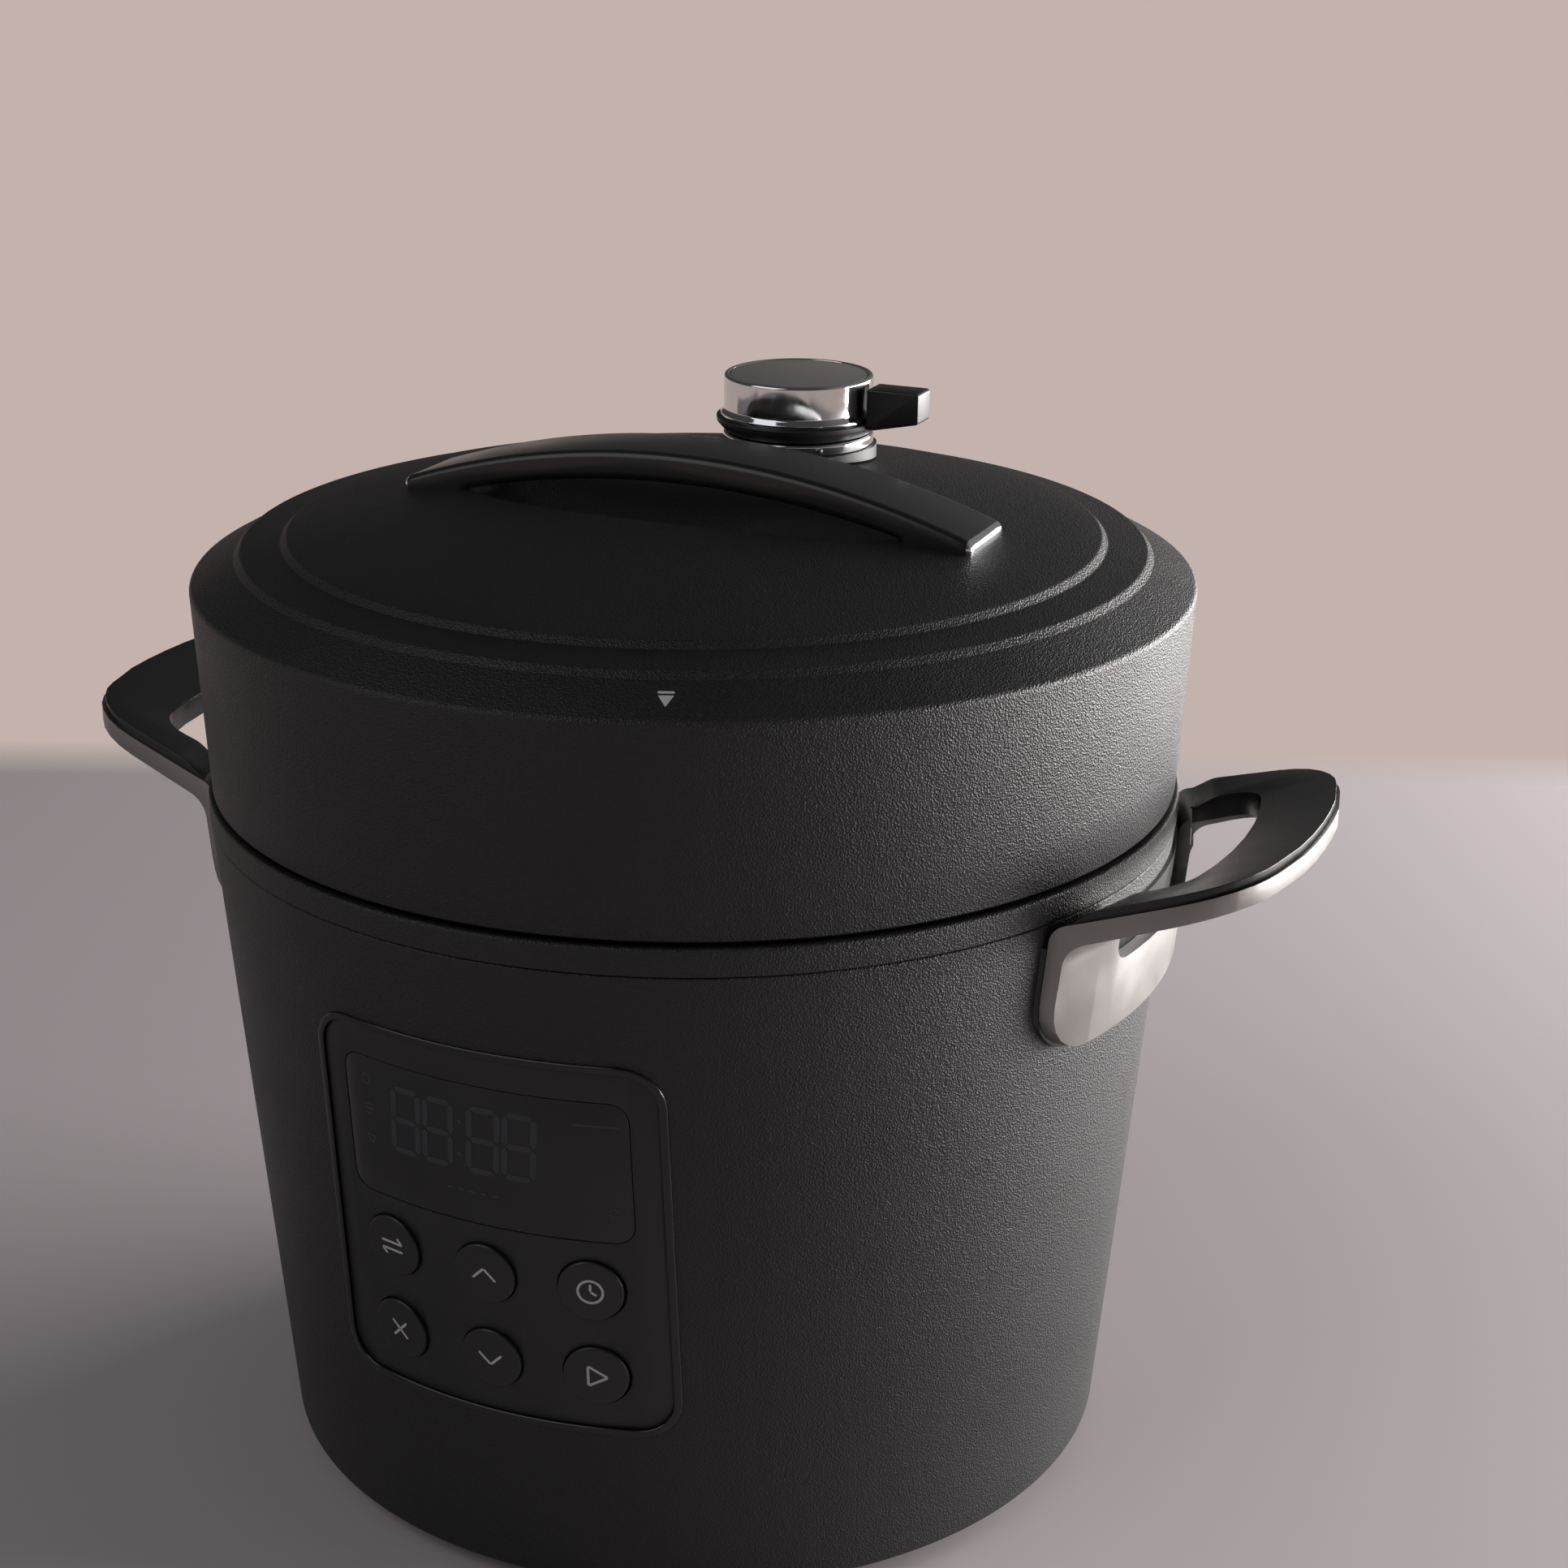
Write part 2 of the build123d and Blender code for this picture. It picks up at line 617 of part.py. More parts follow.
bezel_blank = panel_piece(BEZEL_PROUD, -BODY_WALL, PANEL_W - 2 * FIT_GAP, PANEL_H - 2 * FIT_GAP,
                          PANEL_CORNER - FIT_GAP, PANEL_Z)
bezel_hole = front_block(PANEL_W - 2 * BEZEL_W, PANEL_H - 2 * BEZEL_W, PANEL_CORNER - BEZEL_W, PANEL_Z)
with BuildPart() as panel_bezel:
    add(bezel_blank)
    add(bezel_hole, mode=Mode.SUBTRACT)
save(panel_bezel.part, "panel_bezel")

fascia_blank = panel_piece(-0.2, -0.2 - FASCIA_T, PANEL_W - 2 * BEZEL_W - 2 * FIT_GAP,
                           PANEL_H - 2 * BEZEL_W - 2 * FIT_GAP, PANEL_CORNER - BEZEL_W - FIT_GAP, PANEL_Z)
window_hole = front_block(WINDOW_W, WINDOW_H, WINDOW_CORNER, WINDOW_Z)
with BuildPart() as panel_fascia:
    add(fascia_blank)
    add(window_hole, mode=Mode.SUBTRACT)
    for place in BUTTONS.values():
        with BuildSketch(button_plane(*place)):
            Circle(BUTTON_R + MOVE_GAP)
        extrude(amount=6, both=True, mode=Mode.SUBTRACT)
save(panel_fascia.part, "panel_fascia")

display_window = panel_piece(-0.2, -0.2 - FASCIA_T, WINDOW_W - 2 * FIT_GAP, WINDOW_H - 2 * FIT_GAP,
                             WINDOW_CORNER - FIT_GAP, WINDOW_Z)
save(display_window, "display_window")

SWITCH_T = 3.5
NUB_T = 0.6
NUB_Y = BOARD_Y + SWITCH_T + NUB_T


def stem_length(x, z):
    """Length of a button's stem, so that pressing it just reaches its switch."""
    slant = cos(asin(x / body_r(z))) * cos(atan(BODY_TAPER))
    depth = body_r(z) * cos(asin(x / body_r(z))) - NUB_Y
    return depth / slant - BUTTON_TRAVEL - 0.9


for name, place in BUTTONS.items():
    face = button_plane(*place)
    with BuildPart() as button:
        with BuildSketch(face):
            Circle(BUTTON_R)
        extrude(amount=0.6)
        fillet(button.edges().sort_by(Axis(face.origin, face.z_dir))[-1], 0.4)
        with BuildSketch(face):
            Circle(BUTTON_R)
        extrude(amount=-3.2)
        with BuildSketch(face.offset(-3.2)):
            Circle(BUTTON_R + 1.0)
        extrude(amount=-0.8)
        with BuildSketch(face.offset(-4.0)):
            Circle(2.2)
        extrude(amount=4.0 - stem_length(*place))
    save(button.part, name)

with BuildPart() as control_board:
    with BuildSketch(Plane.XZ.offset(BOARD_Y)):
        with Locations((0, PANEL_Z)):
            RectangleRounded(PANEL_W - 10, PANEL_H - 12, 2)
    extrude(amount=-BOARD_T)
save(control_board.part, "control_board")

with BuildPart() as tact_switches:
    for x, z in BUTTONS.values():
        tip = button_plane(x, z).offset(-stem_length(x, z)).origin
        with BuildSketch(Plane.XZ.offset(BOARD_Y)):
            with Locations((tip.X, tip.Z)):
                Rectangle(6, 6)
        extrude(amount=SWITCH_T)
        with BuildSketch(Plane.XZ.offset(BOARD_Y + SWITCH_T)):
            with Locations((tip.X, tip.Z)):
                Circle(1.7)
        extrude(amount=NUB_T)
save(tact_switches.part, "tact_switches")

with BuildPart() as lcd_module:
    with BuildSketch(Plane.XZ.offset(BOARD_Y)):
        with Locations((0, WINDOW_Z)):
            RectangleRounded(WINDOW_W - 7, WINDOW_H - 3, 1.5)
    extrude(amount=4.6)
save(lcd_module.part, "lcd_module")

# ---------------------------------------------------------------- side handles
def loop_plan(inset):
    """Plan outline of a side handle on +X, made smaller all round by an inset."""
    tip = GRIP_R - inset
    far = LOOP_HALF - inset
    arm = PLATE_HALF - 1 - inset
    root = PLATE_HALF + 1 - inset
    with BuildSketch() as plan:
        with BuildLine():
            Polyline(
                (tip - LOOP_BULGE, far),
                (BODY_R + 8, arm),
                (BODY_R - 7, root),
                (BODY_R - 30, root),
                (BODY_R - 30, -root),
                (BODY_R - 7, -root),
                (BODY_R + 8, -arm),
                (tip - LOOP_BULGE, -far),
            )
            ThreePointArc((tip - LOOP_BULGE, -far), (tip, 0), (tip - LOOP_BULGE, far))
        make_face()
        fillet(corners(plan, (tip - LOOP_BULGE, far), (tip - LOOP_BULGE, -far)), LOOP_CORNER - inset)
    return plan.sketch


def hole_plan(grow):
    """Plan outline of the finger opening on +X, made larger all round."""
    half = PLATE_HALF - 1 - LOOP_ARM + grow
    tip = GRIP_R - GRIP_W + grow
    bulge = LOOP_BULGE * 0.7
    with BuildSketch() as plan:
        with BuildLine():
            Polyline((tip - bulge, half), (BODY_R - 12, half), (BODY_R - 12, -half), (tip - bulge, -half))
            ThreePointArc((tip - bulge, -half), (tip, 0), (tip - bulge, half))
        make_face()
        fillet(corners(plan, (tip - bulge, half), (tip - bulge, -half)), 8 + grow)
    return plan.sketch


def prism(sketch, z0, z1):
    """Upright prism on a plan outline."""
    with BuildPart() as column:
        with BuildSketch(Plane.XY.offset(z0)):
            add(sketch)
        extrude(amount=z1 - z0)
    return column.part


def side_block(width, z0, z1, radius):
    """Block that runs out of the +X side, its lower corners rounded."""
    with BuildPart() as block:
        with BuildSketch(Plane.YZ) as face:
            with Locations((0, (z0 + z1) / 2)):
                Rectangle(width, z1 - z0)
            fillet(corners(face, (-width / 2, z0), (width / 2, z0)), radius)
        extrude(amount=1.6 * BODY_R)
    return block.part


def make_side_handle():
    """Steel bracket, black grip and backing pad of the handle on +X."""
    plate_in = PAD_T + 0.1
    root = body_r(LOOP_Z) + plate_in
    outer = GRIP_R + 2
    with BuildPart() as blank:
        with BuildSketch(upright(0, 0)) as section:
            with BuildLine():
                Polyline(
                    (body_r(PLATE_Z) + plate_in, PLATE_Z),
                    (root, LOOP_Z),
                    (outer, LOOP_Z + LOOP_RISE),
                    (outer, LOOP_Z + LOOP_RISE - LOOP_T),
                    (body_r(LOOP_Z - LOOP_T) + plate_in + PLATE_T, LOOP_Z - LOOP_T),
                    (body_r(PLATE_Z) + plate_in + PLATE_T, PLATE_Z),
                    close=True,
                )
            make_face()
            fillet(corners(section, (root, LOOP_Z)), 4.5)
            fillet(corners(section, (body_r(LOOP_Z - LOOP_T) + plate_in + PLATE_T, LOOP_Z - LOOP_T)), 6.0)
        revolve(axis=Axis.Z)
    plan = prism(loop_plan(0), PLATE_Z - 1, LOOP_Z + 20)
    hole = prism(hole_plan(GRIP_LINING), PLATE_Z - 1, LOOP_Z + 20)
    slot = side_block(2 * SLOT_HALF, LOOP_Z - LOOP_T - SLOT_DROP, LOOP_Z + 20, 4.0)
    plate_face = side_block(2 * PLATE_HALF + 2, PLATE_Z - 0.01, LOOP_Z + 20, PLATE_CORNER)
    slot_above = side_block(2 * PLATE_HALF, LOOP_Z - LOOP_T - 1.5, LOOP_Z + 20, 1.0)
    with BuildPart() as cut_low:
        add(hole)
        add(slot, mode=Mode.INTERSECT)
    beyond = tube(2 * BODY_R, BODY_R + GRIP_FOOT - FIT_GAP, PLATE_Z - 1, LOOP_Z + 20)
    with BuildPart() as cut_high:
        add(hole)
        add(slot_above, mode=Mode.INTERSECT)
        add(beyond, mode=Mode.INTERSECT)
    with BuildPart() as bracket:
        add(blank.part)
        add(plan, mode=Mode.INTERSECT)
        add(plate_face, mode=Mode.INTERSECT)
        add(cut_low.part, mode=Mode.SUBTRACT)
        add(cut_high.part, mode=Mode.SUBTRACT)
        add(handle_bolt_shanks(SCREW_R), mode=Mode.SUBTRACT)

    foot = BODY_R + GRIP_FOOT


    def loop_top(r):
        """Height of the steel's upper face at radius r."""
        return LOOP_Z + LOOP_RISE * (r - root) / (outer - root)

    with BuildPart() as crown:
        with BuildSketch(upright(0, 0)) as section:
            with BuildLine():
                Polyline(
                    (foot, loop_top(foot) + 0.02),
                    (foot + 5, loop_top(foot + 5) + GRIP_CROWN),
                    (GRIP_R + 1, loop_top(GRIP_R + 1) + GRIP_CROWN),
                    (GRIP_R + 1, loop_top(GRIP_R + 1) + 0.02),
                    close=True,
                )
            make_face()
            fillet(corners(section, (foot + 5, loop_top(foot + 5) + GRIP_CROWN)), 8)
        revolve(axis=Axis.Z)
    with BuildPart() as lining:
        with BuildSketch(upright(0, 0)):
            with BuildLine():
                Polyline(
                    (foot, loop_top(foot) - LOOP_T + 0.8),
                    (foot, loop_top(foot) + 0.5),
                    (GRIP_R, loop_top(GRIP_R) + 1.0),
                    (GRIP_R, loop_top(GRIP_R) - LOOP_T + 0.8),
                    close=True,
                )
            make_face()
        revolve(axis=Axis.Z)
    grip_plan = prism(loop_plan(GRIP_INSET), PLATE_Z - 1, LOOP_Z + 20)
    grip_hole = prism(hole_plan(0), PLATE_Z - 1, LOOP_Z + 20)
    lining_plan = prism(hole_plan(GRIP_LINING - FIT_GAP), PLATE_Z - 1, LOOP_Z + 20)
    with BuildPart() as liner:
        add(lining.part)
        add(lining_plan, mode=Mode.INTERSECT)
    with BuildPart() as grip:
        add(crown.part)
        add(grip_plan, mode=Mode.INTERSECT)
        add(liner.part)
        add(grip_hole, mode=Mode.SUBTRACT)

    band = wall_band(PAD_T, 0.05, PLATE_Z - PAD_RIM, LOOP_Z - 4.5)
    pad_block = side_block(2 * (PLATE_HALF + 1 + PAD_RIM) - 1, PLATE_Z - PAD_RIM, BODY_H, PLATE_CORNER + PAD_RIM)
    with BuildPart() as pad:
        add(band)
        add(pad_block, mode=Mode.INTERSECT)
        add(handle_bolt_shanks(SCREW_R + FIT_GAP), mode=Mode.SUBTRACT)
    return bracket.part, grip.part, pad.part


bracket, grip, pad = make_side_handle()
for label, piece in (("handle_bracket", bracket), ("handle_grip", grip), ("handle_pad", pad)):
    other = mirror(piece, about=Plane.YZ)
    save(piece, f"right_{label}")
    save(other, f"left_{label}")

shanks = handle_bolt_shanks(SCREW_R)
with BuildPart() as handle_screws:
    add(shanks)
    for side in (1, -1):
        for y in (BOLT_Y, -BOLT_Y):
            with BuildSketch(Plane.YZ.offset(side * bolt_start())):
                with Locations((y, BOLT_Z)):
                    Circle(3.4)
            extrude(amount=-side * 2.0)
save(handle_screws.part, "handle_screws")

# ---------------------------------------------------------------- lid
with BuildPart() as dome_solid:
    with BuildSketch(upright(0, 0)) as section:
        with BuildLine():
            Polyline(
                (0, RIM_Z + DOME_RISE),
                (0, SKIRT_Z),
                (SKIRT_R, SKIRT_Z),
                (RIM_R, RIM_Z),
                (STEP1_R + 0.8, RIM_Z + STEP1_RISE - STEP_H),
                (STEP1_R - 0.6, RIM_Z + STEP1_RISE),
                (STEP2_R + 0.8, RIM_Z + STEP2_RISE - STEP_H),
                (STEP2_R - 0.6, RIM_Z + STEP2_RISE),
            )
            ThreePointArc(
                (STEP2_R - 0.6, RIM_Z + STEP2_RISE),
                (STEP2_R / 2, dome_z(STEP2_R / 2)),
                (0, RIM_Z + DOME_RISE),
            )
        make_face()
        fillet(corners(section, (RIM_R, RIM_Z)), 1.6)
        fillet(corners(section, (STEP1_R - 0.6, RIM_Z + STEP1_RISE), (STEP2_R - 0.6, RIM_Z + STEP2_RISE)), 1.2)
        fillet(corners(section, (STEP1_R + 0.8, RIM_Z + STEP1_RISE - STEP_H),
                       (STEP2_R + 0.8, RIM_Z + STEP2_RISE - STEP_H)), 0.8)
    revolve(axis=Axis.Z)

with BuildPart() as dome_hollow:
    with BuildSketch(upright(0, 0)):
        with BuildLine():
            Polyline(
                (0, RIM_Z + DOME_RISE - LID_WALL),
                (0, SKIRT_Z - 1),
                (SKIRT_R - LID_WALL, SKIRT_Z - 1),
                (RIM_R - LID_WALL - 0.2, RIM_Z - 1),
                (STEP1_R - 1.4, RIM_Z + STEP1_RISE - LID_WALL - 0.6),
                (STEP2_R - 1.4, RIM_Z + STEP2_RISE - LID_WALL - 0.2),
            )
            ThreePointArc(
                (STEP2_R - 1.4, RIM_Z + STEP2_RISE - LID_WALL - 0.2),
                (STEP2_R / 2, dome_z(STEP2_R / 2) - LID_WALL),
                (0, RIM_Z + DOME_RISE - LID_WALL),
            )
        make_face()
    revolve(axis=Axis.Z)


def scoop(grow):
    """Egg-shaped bowl of the finger recess, made larger all round."""
    with BuildPart() as bowl:
        Sphere(1)
        scale(by=(SCOOP_A + grow, SCOOP_B + grow, SCOOP_DEPTH + grow))
    return bowl.part.moved(Location((0, 0, RIM_Z + DOME_RISE)))


LID_BOSS_R = 4.0
LID_BOSS_RING = POT_R - 5.5
LID_SCREW_R = 1.5
HANDLE_BOLT_X = HANDLE_HALF - 8.0
PIPE_R = 4.0
scoop_wall = scoop(LID_WALL)
scoop_hole = scoop(0)
with BuildPart() as lid_cover:
    add(dome_solid.part)
    add(dome_hollow.part, mode=Mode.SUBTRACT)
with BuildPart() as scoop_shell:
    add(dome_solid.part)
    add(scoop_wall, mode=Mode.INTERSECT)
with BuildPart() as lid_bosses:
    with BuildSketch(Plane.XY.offset(LID_PLATE_Z + LID_PLATE_T)):
        with PolarLocations(LID_BOSS_RING, 4, start_angle=45):
            Circle(LID_BOSS_R)
    extrude(amount=dome_z(LID_BOSS_RING) - 1.4 - LID_PLATE_Z - LID_PLATE_T)
with BuildPart() as lid_shell:
    add(lid_cover.part)
    add(scoop_shell.part)
    add(lid_bosses.part)
    add(scoop_hole, mode=Mode.SUBTRACT)
    with BuildSketch(Plane.XY.offset(LID_PLATE_Z + LID_PLATE_T)):
        with PolarLocations(LID_BOSS_RING, 4, start_angle=45):
            Circle(LID_SCREW_R)
    extrude(amount=9, mode=Mode.SUBTRACT)
    with BuildSketch(Plane.XY.offset(RIM_Z)):
        with Locations((0, VALVE_Y)):
            Circle(PIPE_R + 3)
        with Locations((FLOAT_X, FLOAT_Y)):
            Circle(3.4)
        with Locations((HANDLE_BOLT_X, 0), (-HANDLE_BOLT_X, 0)):
            Circle(2.2)
    extrude(amount=30, mode=Mode.SUBTRACT)
save(lid_shell.part, "lid_cover")

# arched handle and its bright end strips
arch_low = HANDLE_TOP - HANDLE_T
end_z = dome_z(HANDLE_HALF) + 2.6
free_z = dome_z(HANDLE_FREE)
with BuildPart() as strap:
    with BuildSketch(Plane.XZ):
        with BuildLine():
            ThreePointArc((-HANDLE_HALF, end_z), (0, RIM_Z + HANDLE_TOP), (HANDLE_HALF, end_z))
            Line((HANDLE_HALF, end_z), (HANDLE_HALF, RIM_Z + 6))
            Line((HANDLE_HALF, RIM_Z + 6), (HANDLE_FREE, RIM_Z + 6))
            Line((HANDLE_FREE, RIM_Z + 6), (HANDLE_FREE, free_z))
            ThreePointArc((HANDLE_FREE, free_z), (0, RIM_Z + arch_low), (-HANDLE_FREE, free_z))
            Line((-HANDLE_FREE, free_z), (-HANDLE_FREE, RIM_Z + 6))
            Line((-HANDLE_FREE, RIM_Z + 6), (-HANDLE_HALF, RIM_Z + 6))
            Line((-HANDLE_HALF, RIM_Z + 6), (-HANDLE_HALF, end_z))
        make_face()
    extrude(amount=HANDLE_W / 2, both=True)
    ends = strap.edges().filter_by(Axis.Z).filter_by(lambda e: abs(abs(e.center().X) - HANDLE_HALF) < 0.01)
    fillet(ends, 3.5)
    top = strap.faces().filter_by(GeomType.CYLINDER).sort_by(Axis.Z)[-1]
    fillet(top.edges().filter_by(lambda e: abs(abs(e.center().Y) - HANDLE_W / 2) < 0.01), 2.4)
with BuildPart() as middle:
    with BuildSketch(Plane.XY.offset(RIM_Z)):
        Rectangle(2 * (HANDLE_HALF - TRIM_T), 2 * HANDLE_W)
    extrude(amount=60)
handle_seat = dome_solid.part.moved(Location((0, 0, 0.05)))
with BuildPart() as lid_handle:
    add(strap.part)
    add(middle.part, mode=Mode.INTERSECT)
    add(handle_seat, mode=Mode.SUBTRACT)
    with BuildSketch(Plane.XY.offset(RIM_Z)):
        with Locations((HANDLE_BOLT_X, 0), (-HANDLE_BOLT_X, 0)):
            Circle(1.8)
    extrude(amount=dome_z(HANDLE_BOLT_X) - RIM_Z + 2.6, mode=Mode.SUBTRACT)
save(lid_handle.part, "lid_handle")
with BuildPart() as handle_end_trims:
    add(strap.part)
    add(middle.part, mode=Mode.SUBTRACT)
    add(handle_seat, mode=Mode.SUBTRACT)
save(handle_end_trims.part, "handle_end_trims")

bolt_top = dome_z(HANDLE_BOLT_X) + 2.4
bolt_seat = dome_z(HANDLE_BOLT_X) - LID_WALL - 0.9
with BuildPart() as handle_bolts:
    with BuildSketch(Plane.XY.offset(bolt_seat)):
        with Locations((HANDLE_BOLT_X, 0), (-HANDLE_BOLT_X, 0)):
            Circle(1.7)
    extrude(amount=bolt_top - bolt_seat)
    with BuildSketch(Plane.XY.offset(bolt_seat)):
        with Locations((HANDLE_BOLT_X, 0), (-HANDLE_BOLT_X, 0)):
            Circle(3.4)
    extrude(amount=-2.0)
save(handle_bolts.part, "handle_bolts")

# steel lid plate with lugs, seal ring and its rack
plate_blank = turned([
    (0, LID_PLATE_Z),
    (PLATE_R, LID_PLATE_Z),
    (PLATE_R, RING_TOP - LUG_DROP - LUG_T),
    (PLATE_R + 2, RING_TOP - LUG_DROP - LUG_T),
    (PLATE_R + 2, LID_PLATE_Z + LID_PLATE_T),
    (0, LID_PLATE_Z + LID_PLATE_T),
])
lid_lugs = lugs(RING_R + 4.5, PLATE_R + 1, RING_TOP - LUG_DROP - LUG_T, RING_TOP - LUG_DROP, 180 / LUG_COUNT)
with BuildPart() as lid_plate:
    add(plate_blank)
    add(lid_lugs)
    with BuildSketch(Plane.XY.offset(LID_PLATE_Z)):
        with PolarLocations(LID_BOSS_RING, 4, start_angle=45):
            Circle(LID_SCREW_R + FIT_GAP)
        with Locations((0, VALVE_Y)):
            Circle(PIPE_R + FIT_GAP)
        with Locations((FLOAT_X, FLOAT_Y)):
            Circle(3.6)
    extrude(amount=LID_PLATE_T, mode=Mode.SUBTRACT)
save(lid_plate.part, "lid_plate")

with BuildPart() as lid_screws:
    with BuildSketch(Plane.XY.offset(LID_PLATE_Z - 1.4)):
        with PolarLocations(LID_BOSS_RING, 4, start_angle=45):
            Circle(2.9)
    extrude(amount=1.4)
    with BuildSketch(Plane.XY.offset(LID_PLATE_Z)):
        with PolarLocations(LID_BOSS_RING, 4, start_angle=45):
            Circle(LID_SCREW_R - 0.05)
    extrude(amount=8)
save(lid_screws.part, "lid_screws")

with BuildPart() as seal_ring:
    with BuildSketch(upright(0, 0)) as section:
        with BuildLine():
            Polyline(
                (POT_R, SEAL_Z),
                (RING_R + 2, SEAL_Z),
                (RING_R + 2, SEAL_Z + SEAL_H),
                (POT_R + 0.5, SEAL_Z + SEAL_H),
                (POT_R + 0.5, SEAL_Z + SEAL_H - 1.6),
                (RING_R, SEAL_Z + SEAL_H - 1.6),
                (RING_R, SEAL_Z + 1.6),
                (POT_R, SEAL_Z + 1.6),
                close=True,
            )
        make_face()
        fillet(corners(section, (RING_R + 2, SEAL_Z), (RING_R + 2, SEAL_Z + SEAL_H)), 0.9)
    revolve(axis=Axis.Z)
save(seal_ring.part, "seal_ring")

RACK_R = POT_R - MOVE_GAP
with BuildPart() as seal_rack:
    with BuildSketch(Plane.XY.offset(SEAL_Z + 1.8)):
        Circle(RACK_R)
        Circle(RACK_R - 3.4, mode=Mode.SUBTRACT)
    extrude(amount=1.2)
    with BuildSketch(Plane.XY.offset(SEAL_Z + 3.0)):
        with PolarLocations(RACK_R - 1.8, 3):
            Circle(1.5)
    extrude(amount=LID_PLATE_Z - SEAL_Z - 3.0)
save(seal_rack.part, "seal_rack")

# ---------------------------------------------------------------- pressure valve
CAP_Z = RIM_Z + VALVE_TOP - CAP_H
COLLAR_T = 3.3
collar_z = CAP_Z - COLLAR_T
VALVE_RING_Z = collar_z - MOVE_GAP
valve_ring_t = 2.8
PIPE_TOP = collar_z + 1.5

exhaust_pipe = tube(PIPE_R, PIPE_R - 1.6, LID_PLATE_Z - 9, PIPE_TOP, 0, VALVE_Y)
save(exhaust_pipe, "exhaust_pipe")

with BuildPart() as pipe_nut:
    with BuildSketch(Plane.XY.offset(LID_PLATE_Z)):
        with Locations((0, VALVE_Y)):
            RegularPolygon(6.6, 6)
            Circle(PIPE_R + 0.05, mode=Mode.SUBTRACT)
    extrude(amount=-4)
save(pipe_nut.part, "pipe_nut")

SHIELD_R = 11.0
shield_blank = turned([
    (0, LID_PLATE_Z - 11),
    (SHIELD_R - 1, LID_PLATE_Z - 11),
    (SHIELD_R, LID_PLATE_Z - 10),
    (SHIELD_R, LID_PLATE_Z),
    (SHIELD_R - 0.8, LID_PLATE_Z),
    (SHIELD_R - 0.8, LID_PLATE_Z - 10.2),
    (0, LID_PLATE_Z - 10.2),
], 0, VALVE_Y)
with BuildPart() as steam_shield:
    add(shield_blank)
    with BuildSketch(Plane.XY.offset(LID_PLATE_Z - 12)):
        with Locations((0, VALVE_Y)):
            with PolarLocations(6, 8):
                Circle(1.2)
    extrude(amount=3, mode=Mode.SUBTRACT)
save(steam_shield.part, "steam_shield")

base_blank = tube(VALVE_R + 0.9, PIPE_R + 1.5, RIM_Z, VALVE_RING_Z - valve_ring_t, 0, VALVE_Y)
with BuildPart() as valve_base:
    add(base_blank)
    add(dome_solid.part, mode=Mode.SUBTRACT)
save(valve_base.part, "valve_base")

with BuildPart() as valve_ring:
    with BuildSketch(upright(0, VALVE_Y)) as section:
        with Locations(((VALVE_R + 0.2 + PIPE_R + 2) / 2, VALVE_RING_Z - valve_ring_t / 2)):
            Rectangle(VALVE_R + 0.2 - PIPE_R - 2, valve_ring_t)
        fillet(corners(section, (VALVE_R + 0.2, VALVE_RING_Z)), 0.6)
    revolve(axis=Axis((0, VALVE_Y, 0), (0, 0, 1)))
save(valve_ring.part, "valve_ring")

collar_blank = turned([
    (PIPE_R + MOVE_GAP, collar_z),
    (VALVE_R - 0.2, collar_z),
    (VALVE_R + 1.6, collar_z + 2.0),
    (VALVE_R + 1.8, CAP_Z),
    (PIPE_R + MOVE_GAP, CAP_Z),
], 0, VALVE_Y)
with BuildPart() as lever:
    with BuildSketch(Plane.XZ.offset(-VALVE_Y)) as section:
        with BuildLine():
            Polyline(
                (VALVE_R - 2, collar_z + 2.0),
                (VALVE_R + 3, collar_z + 2.0),
                (LEVER_REACH, CAP_Z + 1.0),
                (LEVER_REACH, CAP_Z + 8.2),
                (VALVE_R + 1.1, CAP_Z + 8.2),
                (VALVE_R + 1.1, CAP_Z),
                (VALVE_R - 2, CAP_Z),
                close=True,
            )
        make_face()
    extrude(amount=4.0, both=True)
    fillet(lever.edges().filter_by(Axis.Y).filter_by(lambda e: e.center().X > LEVER_REACH - 0.1), 0.8)
with BuildPart() as valve_collar:
    add(collar_blank)
    add(lever.part)
save(valve_collar.part, "valve_collar")

with BuildPart() as valve_cap:
    with BuildSketch(upright(0, VALVE_Y)) as section:
        with BuildLine():
            Polyline(
                (VALVE_R - 1.2, CAP_Z),
                (VALVE_R + 0.8, CAP_Z),
                (VALVE_R + 0.8, CAP_Z + 0.7),
                (VALVE_R, CAP_Z + 1.6),
                (VALVE_R, CAP_Z + CAP_H),
                (VALVE_R - 1.4, CAP_Z + CAP_H),
                (VALVE_R - 1.4, CAP_Z + CAP_H - 0.8),
                (0, CAP_Z + CAP_H - 0.8),
                (0, CAP_Z + CAP_H - 2.0),
                (VALVE_R - 1.2, CAP_Z + CAP_H - 2.0),
                close=True,
            )
        make_face()
        fillet(corners(section, (VALVE_R, CAP_Z + CAP_H)), 0.7)
    revolve(axis=Axis((0, VALVE_Y, 0), (0, 0, 1)))
save(valve_cap.part, "valve_cap")

cap_disc = turned([
    (0, CAP_Z + CAP_H - 0.8),
    (VALVE_R - 1.5, CAP_Z + CAP_H - 0.8),
    (VALVE_R - 1.5, CAP_Z + CAP_H - 0.3),
    (VALVE_R - 1.8, CAP_Z + CAP_H - 0.1),
    (0, CAP_Z + CAP_H - 0.1),
], 0, VALVE_Y)
save(cap_disc, "cap_disc")

